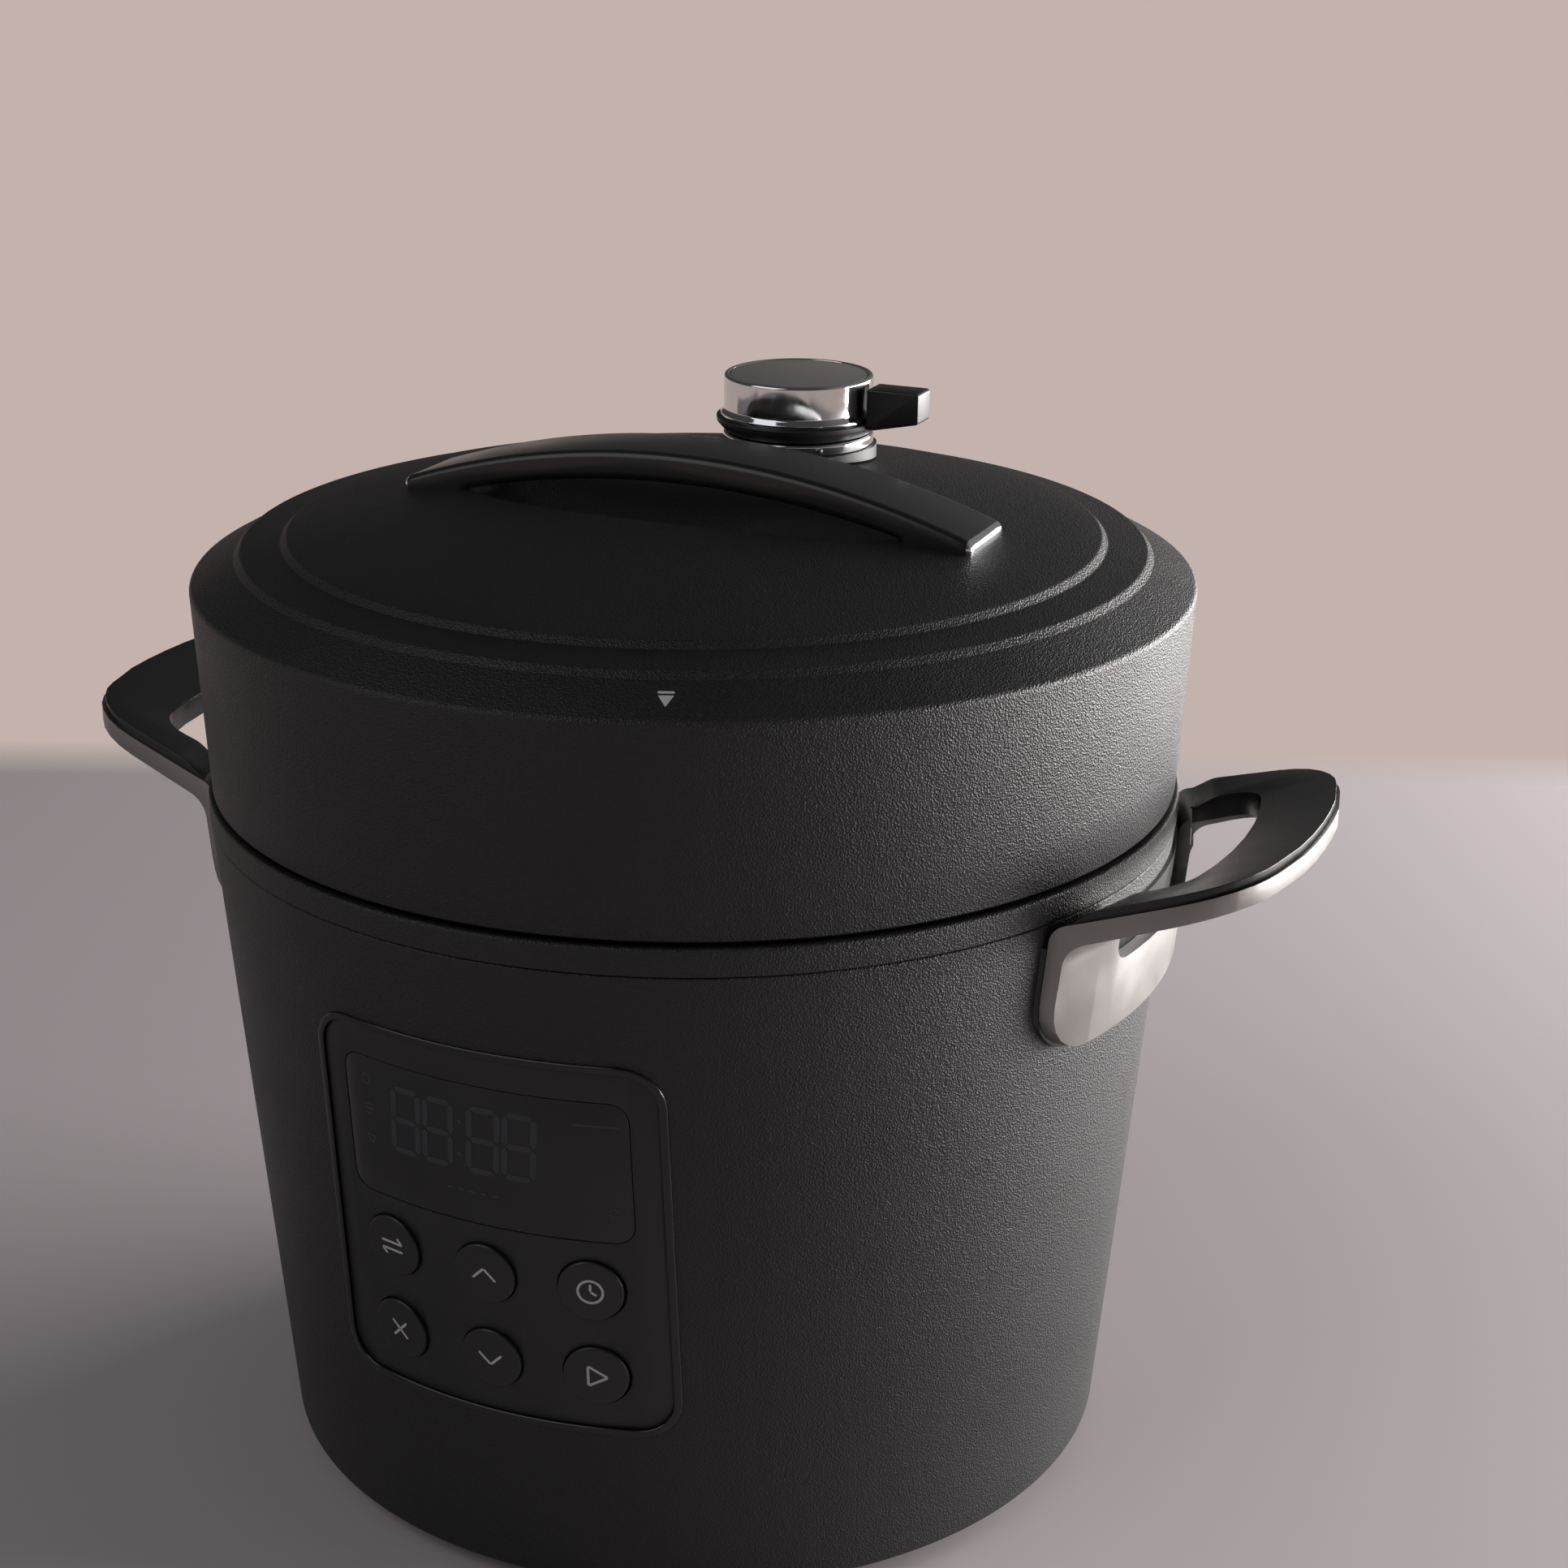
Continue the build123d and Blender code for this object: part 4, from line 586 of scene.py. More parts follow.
def turned(name, outline, centre=(0.0, 0.0), steps=ROUND_BIG):
    """Solid turned about an upright axis from its (radius, height) outline, which may start and end
    on the axis.
    """
    points = rounded(outline)
    if points[0].x or points[-1].x:
        points.append(points[0])
    piece = draw(points, FRONT)
    bpy.ops.mesh.remove_doubles(threshold=WELD)
    bpy.ops.mesh.select_all(action="SELECT")
    bpy.ops.mesh.spin(steps=steps, angle=2 * pi, center=(0, 0, 0), axis=(0, 0, 1))
    bpy.ops.mesh.select_all(action="SELECT")
    bpy.ops.mesh.remove_doubles(threshold=WELD)
    bpy.ops.mesh.normals_make_consistent(inside=False)
    bpy.ops.object.mode_set(mode="OBJECT")
    piece.location = (centre[0] * MM, centre[1] * MM, 0)
    return smooth(settle(piece, name))


def extruded(name, outline, axes, start, depth):
    """Solid with an outline on two axes, from start along their normal for a depth."""
    points = rounded(outline)
    piece = draw(points + points[:1], axes, start)
    bpy.ops.mesh.remove_doubles(threshold=WELD)
    bpy.ops.mesh.select_all(action="SELECT")
    bpy.ops.mesh.edge_face_add()
    travel = axes[0].cross(axes[1]) * depth * MM
    bpy.ops.mesh.extrude_region_move(TRANSFORM_OT_translate={"value": travel})
    bpy.ops.mesh.select_all(action="SELECT")
    bpy.ops.mesh.normals_make_consistent(inside=False)
    bpy.ops.object.mode_set(mode="OBJECT")
    return settle(piece, name)


def drill(x, y, radius, low, high):
    """Upright round cutter."""
    deselect()
    bpy.ops.mesh.primitive_cylinder_add(vertices=ROUND_SMALL, radius=radius * MM, depth=(high - low) * MM,
                                        location=(x * MM, y * MM, (low + high) / 2 * MM))
    return settle(bpy.context.object, "drill")


def wrapped(piece, strip=2.5):
    """Bends a piece drawn flat on the FRONT axes round the tapered housing, after slicing it into strips."""
    pick(piece)
    reach = max(abs(v.co.x) for v in piece.data.vertices) / MM
    bpy.ops.object.mode_set(mode="EDIT")
    count = int(reach / strip)
    for k in range(-count, count + 1):
        bpy.ops.mesh.select_all(action="SELECT")
        bpy.ops.mesh.bisect(plane_co=(k * strip * MM, 0, 0), plane_no=(1, 0, 0))
    bpy.ops.object.mode_set(mode="OBJECT")
    for vertex in piece.data.vertices:
        r = wall_r(vertex.co.z / MM) * MM - vertex.co.y
        vertex.co.y = -sqrt(r * r - vertex.co.x ** 2)
    piece.data.update()
    return smooth(piece)


# ------------ housing
def make_housing():
    """Tapered shell with openings for the panel and the inlet."""
    top, foot = wall_r(BODY_TOP), wall_r(BODY_FOOT)
    shell = turned("housing_shell", [
        (foot - WALL, BODY_FOOT, 0.3),
        (foot, BODY_FOOT, FOOT_EDGE),
        (top, BODY_TOP, 0.5),
        (top - WALL, BODY_TOP, 0.3),
    ])
    cut(shell, extruded("tool", rectangle(PANEL_W, PANEL_H, PANEL_CORNER, (0, PANEL_Z)), FRONT,
                        BODY_R / 2, BODY_R))
    inlet_low, inlet_high = span("power_inlet")
    size = inlet_high - inlet_low
    middle = (inlet_high + inlet_low) / 2
    cut(shell, extruded("tool", rectangle(size.x, size.z, INLET_CORNER, (0, middle.z)), FRONT,
                        -1.5 * BODY_R, BODY_R))
    fit(smooth(shell), GRAINED, "base", "black_grained_plastic", "body_housing")


def make_collar():
    """Band round the rim, and the collar that the lid goes over."""
    collar = turned("rim_collar", [
        (COLLAR_IN, COLLAR_TOP - 3),
        (COLLAR_IN, COLLAR_TOP, 0.5),
        (COLLAR_R, COLLAR_TOP, 0.8),
        (COLLAR_R, BAND_TOP - 2.5, 1.0),
        (BODY_R - 3, BAND_TOP - 1, 0.8),
        (BODY_R - 1.6, BAND_TOP, 0.6),
        (BODY_R + 0.2, BAND_TOP, 0.8),
        (BODY_R + 0.2, BODY_TOP + 0.3, 0.4),
        (BODY_R - 0.6, BODY_TOP),
        (BODY_R - WALL - 0.1, BODY_TOP),
        (BODY_R - WALL - 0.5, BODY_TOP - 4),
        (BODY_R - WALL - 2.6, BODY_TOP - 4),
        (BODY_R - WALL - 2.6, BODY_TOP + 1),
        (COLLAR_R - 2.5, BODY_TOP + 2),
        (COLLAR_R - 2.5, COLLAR_TOP - 3),
    ])
    fit(collar, GRAINED, "base", "black_grained_plastic", "upper_collar")


# ------------ lid
def dome_points(low_r, high_r, drop, count):
    """Points of the dome's section from one radius to another, lowered by a drop."""
    radii = [low_r + (high_r - low_r) * k / count for k in range(count + 1)]
    return [(r, dome_z(r) - drop) for r in radii]


def lid_outside():
    """Lid's outer section, from the skirt's foot to the middle of the dome."""
    (r1, z1), (r2, z2) = STEP_1, STEP_2
    return [
        (SKIRT_R, SKIRT_Z, 0.5),
        (RIM_R, RIM_Z, 1.6),
        (r1 + 0.8, z1 - STEP_H, 0.7),
        (r1 - 0.6, z1, 1.0),
        (r2 + 0.8, z2 - STEP_H, 0.7),
        (r2 - 0.6, z2, 1.0),
        *dome_points(r2 - 5, 0, 0, 24),
    ]


def ellipsoid(grow):
    """Egg-shaped bowl of the finger recess, made larger all round."""
    deselect()
    bpy.ops.mesh.primitive_uv_sphere_add(segments=128, ring_count=64, radius=MM,
                                         location=(0, 0, DOME_TOP * MM))
    bowl = bpy.context.object
    bowl.scale = [half + grow for half in SCOOP]
    return settle(bowl, "bowl")


def make_lid():
    """Lid cover with its finger recess and the holes for the float pin and the valve."""
    (r1, z1), (r2, z2) = STEP_1, STEP_2
    shell = turned("lid_shell", [
        *lid_outside(),
        *dome_points(0, r2 - 5, LID_WALL, 24),
        (r2 - 1.4, z2 - LID_WALL - 0.2),
        (r1 - 1.4, z1 - LID_WALL - 0.6),
        (RIM_R - LID_WALL - 0.2, RIM_Z - 1, 1.0),
        (SKIRT_R - LID_WALL, SKIRT_Z, 0.5),
    ])
    dome = turned("dome", [*lid_outside(), (0, SKIRT_Z)])
    dome.location.z = -LID_WALL / 2 * MM
    settle(dome, "dome")
    cut(shell, cut(ellipsoid(LID_WALL), dome, "INTERSECT"), "UNION")
    cut(shell, ellipsoid(0))
    pin_low, pin_high = span("float_pin")
    pin = (pin_low + pin_high) / 2
    above = DOME_TOP + 10
    cut(shell, drill(pin.x, pin.y, PIN_HOLE_R, RIM_Z, above))
    cut(shell, drill(0, VALVE_Y, PIPE_HOLE_R, RIM_Z, above))
    fit(smooth(shell, 28), GRAINED, "lid", "black_grained_plastic", "lid_cover")


HANDLE_TOP = handle_high.z
HANDLE_HALF = trim_high.x
HANDLE_W = handle_high.y - handle_low.y
HANDLE_T = 6.6  # thickness at the top of the arch
HANDLE_FREE = 52.0  # half length of the gap under the arch
TRIM_T = 1.2  # of the bright end caps
HANDLE_EDGE = 2.9


def make_lid_handle():
    """Arched strap, split into the black arch and its two bright end caps."""
    end_z = dome_z(HANDLE_HALF) + 2.6
    sunk = dome_z(HANDLE_HALF) - 2.0
    free_z = dome_z(HANDLE_FREE)
    top = bowed((HANDLE_HALF, end_z), (-HANDLE_HALF, end_z), -(HANDLE_TOP - end_z), 47)
    under = bowed((-HANDLE_FREE, free_z), (HANDLE_FREE, free_z), HANDLE_TOP - HANDLE_T - free_z, 35)
    strap = extruded("strap", [
        (HANDLE_HALF, sunk), (HANDLE_HALF, end_z), *top, (-HANDLE_HALF, end_z), (-HANDLE_HALF, sunk),
        (-HANDLE_FREE, sunk), (-HANDLE_FREE, free_z), *under, (HANDLE_FREE, free_z), (HANDLE_FREE, sunk),
    ], FRONT, -HANDLE_W / 2, HANDLE_W)
    soften(strap, HANDLE_EDGE, 6, 50)
    between = rectangle(2 * (HANDLE_HALF - TRIM_T), 2 * HANDLE_W)
    middle = extruded("middle", between, PLAN, RIM_Z - 20, 80)
    trims = cut(copied(strap, "handle_end_caps"), copied(middle, "tool"))
    arch = cut(strap, middle, "INTERSECT")
    fit(smooth(settle(arch, "lid_arch")), SATIN_BLACK, "lid", "satin_black_plastic", "lid_handle")
    fit(smooth(settle(trims, "handle_end_caps")), CHROME, "lid", "bright_chrome", "handle_end_trims")


# ------------ pressure valve
VALVE_Y = (cap_low.y + cap_high.y) / 2
VALVE_R = (cap_high.x - cap_low.x) / 2 - 0.8  # of the dial above its lip
CAP_Z = cap_low.z
CAP_TOP = cap_high.z
VALVE_STEPS = 2 * ROUND_SMALL
STEM_R = 4.3
LEVER_W = 8.0


def make_valve():
    """Turning dial with its satin disc, the black collar with its lever, and the ring that stays."""
    place = (0, VALVE_Y)
    disc_z = CAP_TOP - 0.8
    cap = turned("valve_dial", [
        (0, disc_z),
        (VALVE_R - 1.4, disc_z, 0.15),
        (VALVE_R - 1.2, CAP_TOP, 0.3),
        (VALVE_R, CAP_TOP, 0.7),
        (VALVE_R, CAP_Z + 1.9, 0.8),
        (VALVE_R + 0.8, CAP_Z + 0.9, 0.3),
        (VALVE_R + 0.8, CAP_Z, 0.2),
        (VALVE_R - 1.2, CAP_Z),
        (VALVE_R - 1.2, disc_z - 1.2),
        (0, disc_z - 1.2),
    ], place, VALVE_STEPS)
    fit(cap, CHROME, "valve", "bright_chrome", "valve_cap")
    disc = turned("valve_disc", [
        (0, disc_z),
        (VALVE_R - 1.5, disc_z),
        (VALVE_R - 1.5, CAP_TOP - 0.1, 0.35),
        (0, CAP_TOP - 0.1),
    ], place, VALVE_STEPS)
    fit(disc, TURNED_STEEL, "valve", "satin_disc", "cap_disc")

    low, high = valve_collar_low, valve_collar_high
    collar = turned("valve_skirt", [
        (STEM_R, low.z),
        (VALVE_R - 0.2, low.z, 0.4),
        (VALVE_R + 1.6, low.z + 2.0, 0.6),
        (VALVE_R + 1.8, CAP_Z, 0.3),
        (STEM_R, CAP_Z),
    ], place, VALVE_STEPS)
    lever = extruded("lever", [
        (VALVE_R - 2, low.z + 2.0),
        (VALVE_R + 3, low.z + 2.0, 1.5),
        (high.x, CAP_Z + 1.0, 0.8),
        (high.x, high.z, 0.8),
        (VALVE_R + 1.1, high.z, 0.4),
        (VALVE_R + 1.1, CAP_Z),
        (VALVE_R - 2, CAP_Z - 0.1),
    ], FRONT, -VALVE_Y - LEVER_W / 2, LEVER_W)
    soften(lever, 0.7, 3, 60)
    fit(smooth(cut(collar, lever, "UNION")), MATT_BLACK, "valve", "black_plastic", "valve_collar")

    ring = turned("valve_seat_ring", [
        (6.0, ring_low.z),
        (VALVE_R + 0.2, ring_low.z, 0.4),
        (VALVE_R + 0.2, ring_high.z, 0.7),
        (6.0, ring_high.z),
    ], place, VALVE_STEPS)
    fit(ring, CHROME, "lid", "bright_chrome", "valve_ring")


# ------------ control panel
def panel_outline(inset, corner_inset):
    return rectangle(PANEL_W - 2 * inset, PANEL_H - 2 * inset, PANEL_CORNER - corner_inset, (0, PANEL_Z))


def through(outline):
    """Cutter through the front wall."""
    return extruded("tool", outline, FRONT, -2 * WALL, 4 * WALL)


def make_panel():
    """Raised bezel, fascia with its openings, and the window; each drawn flat and then wrapped."""
    bezel = extruded("bezel_frame", panel_outline(0, 0), FRONT, -WALL, WALL + 0.5)
    cut(bezel, through(panel_outline(BEZEL_W, BEZEL_W)))
    soften(bezel, 0.35, 3)
    fit(wrapped(bezel), GLOSS_BLACK, "base", "gloss_black_trim", "panel_bezel")

    face_outline = panel_outline(BEZEL_W + PANEL_GAP / 2, BEZEL_W)
    face = extruded("panel_face", face_outline, FRONT, -WALL, WALL - 0.2)
    size = window_high - window_low
    cut(face, through(rectangle(size.x + PANEL_GAP, size.z + PANEL_GAP, WINDOW_CORNER + PANEL_GAP / 2,
                                (0, WINDOW_Z))))
    for x, z in BUTTONS.values():
        deselect()
        bpy.ops.mesh.primitive_cylinder_add(vertices=ROUND_SMALL, radius=(BUTTON_R + BUTTON_GAP) * MM,
                                            depth=20 * MM, location=(x * MM, 0, z * MM),
                                            rotation=(pi / 2, 0, 0))
        cut(face, settle(bpy.context.object, "tool"))
    soften(face, 0.25, 2)
    fit(wrapped(face), PANEL_MATT, "base", "black_plastic", "panel_fascia")

    window_outline = rectangle(size.x, size.z, WINDOW_CORNER, (0, WINDOW_Z))
    window = extruded("display_lens", window_outline, FRONT, -WALL, WALL - 0.2)
    soften(window, 0.3, 2)
    fit(wrapped(window), SMOKED, "base", "smoked_window", "display_window")


BUTTON_R = 7.0
BUTTON_RISE = 0.6
FLANGE = (3.2, 4.0)  # depths of the flange that holds a button in
STEM = (2.2, 11.5)  # radius and depth of the stem behind it
SIDE_COLUMN = 23.0
BUTTONS = {}  # each button's place on the panel, across and up
for body_name, across in (("mode", -SIDE_COLUMN), ("up", 0.0), ("timer", SIDE_COLUMN),
                          ("cancel", -SIDE_COLUMN), ("down", 0.0), ("start", SIDE_COLUMN)):
    low, high = span(f"button_{body_name}")
    BUTTONS[f"button_{body_name}"] = (across, (low.z + high.z) / 2)


def button_frame(x, z):
    """Place on the panel at (x, z): local x runs across, y up the wall and z out of it."""
    turn, tilt = asin(x / wall_r(z)), atan(TAPER)
    out = Vector((sin(turn) * cos(tilt), -cos(turn) * cos(tilt), -sin(tilt)))
    right = Vector((cos(turn), sin(turn), 0))
    pose = Matrix((right, out.cross(right), out)).transposed().to_4x4()
    pose.translation = Vector((x, -wall_r(z) * cos(turn), z)) * MM
    return pose


def bar(start, end, width, axes, out, thickness=0.05):
    """Flat printed bar with pointed ends."""
    start, end = Vector(start), Vector(end)
    along = (end - start).normalized() * width / 2
    side = Vector((-along.y, along.x))
    outline = [start, start + along - side, end - along - side,
               end, end - along + side, start + along + side]
    return extruded("bar", [tuple(p) for p in outline], axes, out, thickness)


def ring(centre, radius, width, axes, out, thickness=0.05):
    """Flat printed ring."""
    def circle(r):
        turns = (2 * pi * k / RING_SIDES for k in range(RING_SIDES))
        return [(centre[0] + r * cos(t), centre[1] + r * sin(t)) for t in turns]

    made = extruded("ring", circle(radius), axes, out, thickness)
    return cut(made, extruded("tool", circle(radius - width), axes, out - 1, thickness + 2))


MARKS = {  # strokes of each button's symbol: start, end
    "button_up": [((-2.7, -1.3), (0, 1.4)), ((0, 1.4), (2.7, -1.3))],
    "button_down": [((-2.7, 1.3), (0, -1.4)), ((0, -1.4), (2.7, 1.3))],
    "button_mode": [((-2.9, 0.9), (2.9, 0.9)), ((2.9, 0.9), (1.5, 2.3)), ((-2.9, -0.9), (2.9, -0.9)),
                    ((-2.9, -0.9), (-1.5, -2.3))],
    "button_timer": [((0, 0), (0, 1.9)), ((0, 0), (1.4, -0.8))],
    "button_cancel": [((-2.0, -2.0), (2.0, 2.0)), ((-2.0, 2.0), (2.0, -2.0))],
    "button_start": [((-1.6, -2.4), (-1.6, 2.4)), ((-1.6, 2.4), (2.6, 0)), ((2.6, 0), (-1.6, -2.4))],
}
MARK_WIDTH = 0.55
CLOCK_R = 2.9


def make_buttons():
    """Slightly crowned keys with printed symbols, on the sloping wall."""
    for name, place in BUTTONS.items():
        key = turned(f"{name}_key", [
            (0, BUTTON_RISE),
            (BUTTON_R - 1.2, BUTTON_RISE - 0.02),
            (BUTTON_R, BUTTON_RISE - 0.05, 0.45),
            (BUTTON_R, -FLANGE[0]),
            (BUTTON_R + 1.0, -FLANGE[0], 0.2),
            (BUTTON_R + 1.0, -FLANGE[1], 0.2),
            (STEM[0], -FLANGE[1]),
            (STEM[0], -STEM[1], 0.3),
            (0, -STEM[1]),
        ], steps=ROUND_SMALL)
        key.matrix_world = button_frame(*place)
        fit(settle(key, f"{name}_key"), BUTTON_MATT, name, "button_plastic", name)
        face = BUTTON_RISE - 0.02
        strokes = [bar(*ends, MARK_WIDTH, PLAN, face) for ends in MARKS[name]]
        if name == "button_timer":
            strokes.append(ring((0, 0), CLOCK_R, MARK_WIDTH, PLAN, face))
        mark = joined(strokes, f"{name}_mark")
        mark.matrix_world = button_frame(*place)
        fit(settle(mark, f"{name}_mark"), MARK_INK, name, "button_plastic")


DIGIT_H = 14.4
DIGIT_W = 6.2
DIGIT_SLANT = 0.08
DIGIT_STROKE = 1.35
DIGIT_PLACES = (-20.4, -12.4, -1.9, 6.1)  # left edges
SEGMENT_GAP = 0.25
PRINT_OUT = -0.2  # where the print lies, out from the wall
ICONS_LEFT, ICONS_RIGHT = -26.5, 26.0
DIGIT_FOOT = WINDOW_Z - 3.5


def leaning(x, y):
    """Point of a digit, leaning to the right with height."""
    return (x + DIGIT_SLANT * y, DIGIT_FOOT + y)


def make_display():
    """Unlit segments of four digits with a colon, and small plain marks round them."""
    out, half, gap = PRINT_OUT, DIGIT_H / 2, SEGMENT_GAP
    strokes = []
    for x in DIGIT_PLACES:
        for y in (0, half, DIGIT_H):
            strokes.append((leaning(x + gap, y), leaning(x + DIGIT_W - gap, y)))
        for side in (0, DIGIT_W):
            for y in (0, half):
                strokes.append((leaning(x + side, y + gap), leaning(x + side, y + half - gap)))
    parts = [bar(*ends, DIGIT_STROKE, FRONT, out) for ends in strokes]
    middle = (DIGIT_PLACES[1] + DIGIT_W + DIGIT_PLACES[2]) / 2
    for y in (half * 0.45, half * 1.5):
        parts.append(bar(leaning(middle - 0.7, y), leaning(middle + 0.7, y), 1.4, FRONT, out))
    fit(wrapped(joined(parts, "display_segments")), UNLIT_SEGMENT, "base", "lcd")

    left, right, foot, top = ICONS_LEFT, ICONS_RIGHT, DIGIT_FOOT, DIGIT_FOOT + DIGIT_H
    arrow = [(left - 1.2, foot + 1.1), (left + 1.2, foot + 1.1), (left, foot - 1.0)]
    lines = [((left - 1.3, foot + y), (left + 1.3, foot + y)) for y in (6.3, 7.4, 8.5)]
    lines += [(arrow[0], arrow[1]), (arrow[0], arrow[2]), (arrow[2], arrow[1])]
    lines += [((x, foot - 5.2), (x + 1.6, foot - 5.2)) for x in (-7.5, -4.9, -2.3, 0.3, 2.9)]
    lines += [((right - 4.6, top), (right + 4.6, top))]
    icons = [bar(*ends, 0.5, FRONT, out) for ends in lines]
    icons.append(ring((left, top), 1.3, 0.4, FRONT, out))
    icons.append(ring((right + 2.6, foot - 5.4), 1.1, 0.35, FRONT, out))
    fit(wrapped(joined(icons, "display_icons")), UNLIT_SEGMENT, "base", "lcd")


LID_MARK_TURN = radians(22.1)  # round the lid from the panel's middle
LID_MARK_R = 104.6


def make_lid_mark():
    """Printed alignment mark on the lid's sloping rim."""
    turn, r = LID_MARK_TURN, LID_MARK_R
    run, rise = RIM_R - STEP_1[0] - 0.8, STEP_1[1] - STEP_H - RIM_Z
    slope = Vector((-run, rise)).normalized()
    z = RIM_Z + (RIM_R - r) * rise / run
    outward = Vector((sin(turn), -cos(turn), 0))
    right = Vector((cos(turn), sin(turn), 0))
    up = outward * slope.x + Vector((0, 0, slope.y))
    pose = Matrix((right, up, right.cross(up))).transposed().to_4x4()
    pose.translation = (outward * r + Vector((0, 0, z))) * MM
    sunk, thick = -0.02, 0.06
    arrow = extruded("arrow", [(-1.5, 0.9), (0, -2.0), (1.5, 0.9)], PLAN, sunk, thick)
    mark = joined([arrow, bar((-1.7, 1.7), (1.7, 1.7), 0.6, PLAN, sunk, thick)], "lid_mark")
    mark.matrix_world = pose
    fit(settle(mark, "lid_mark"), LID_INK, "lid", "black_grained_plastic")


# ------------ side handles
GRIP_R = bracket_high.x
PLATE_LOW = bracket_low.z
PLATE_HALF = 44.0  # half width of the mounting plate
PLATE_CORNER = 12.0
PLATE_T = 2.8
PAD_T = 1.0  # of the backing between plate and housing
LOOP_Z = BODY_TOP - 0.4  # top of the steel where it leaves the plate
LOOP_T = 4.0
LOOP_RISE = 13.0  # from the plate to the outer edge
LOOP_HALF = 40.0  # half width at the outer edge
LOOP_ARM = 11.5  # width of the steel beside the finger opening
LOOP_BULGE = 6.0  # how far the outer edge bows out
LOOP_CORNER = 20.0
LOOP_ABOVE = LOOP_Z + 20  # clear above the whole handle
GRIP_W = 17.0  # width of the black grip at the outer edge
GRIP_CROWN = 2.2  # height of the grip above the steel
GRIP_INSET = 0.8
GRIP_LINING = 1.6  # of the steel's opening, inside which the grip turns down
GRIP_FOOT = BODY_R + 3.5  # where the black grip starts
SLOT_HALF = 26.0  # opening in the plate under the loop
SLOT_DROP = 9.5


def loop_top(r):
    """Height of the steel's upper face at radius r."""
    root, outer = wall_r(LOOP_Z) + PAD_T, GRIP_R + 2
    return LOOP_Z + LOOP_RISE * (r - root) / (outer - root)


def bow(tip, bulge, half, reach):
    """Points of an outer edge that bows out to the tip, from -reach to reach."""
    return [(tip - bulge * (k * reach / half) ** 2, k * reach) for k in (-1, -0.5, 0, 0.5, 1)]


def loop_outline(inset):
    """Plan of a side handle on +X, made smaller all round by an inset."""
    tip, near, far = GRIP_R - inset, BODY_R - 30, LOOP_HALF - inset
    arm, root = PLATE_HALF - 1 - inset, PLATE_HALF + 1 - inset
    corner = LOOP_CORNER - inset
    return [
        (tip - LOOP_BULGE, -far, corner), *bow(tip, LOOP_BULGE, far, 15), (tip - LOOP_BULGE, far, corner),
        (BODY_R + 8, arm), (BODY_R - 7, root), (near, root),
        (near, -root), (BODY_R - 7, -root), (BODY_R + 8, -arm),
    ]


def hole_outline(grow):
    """Plan of the finger opening on +X, made larger all round."""
    half = PLATE_HALF - 1 - LOOP_ARM + grow
    tip, bulge = GRIP_R - GRIP_W + grow, LOOP_BULGE * 0.7
    return [(tip - bulge, -half, 8 + grow), *bow(tip, bulge, half, 18), (tip - bulge, half, 8 + grow),
            (BODY_R - 12, half), (BODY_R - 12, -half)]


def side_cutter(width, low, high, corner):
    """Block seen from the side, rounded at its foot, from the middle of the cooker out past +X."""
    outline = [(-width / 2, low, corner), (width / 2, low, corner), (width / 2, high), (-width / 2, high)]
    return extruded("tool", outline, SIDE, 0, 1.6 * BODY_R)


def column(outline):
    """Upright block with an outline seen from above."""
    return extruded("tool", outline, PLAN, PLATE_LOW - 1, 60)


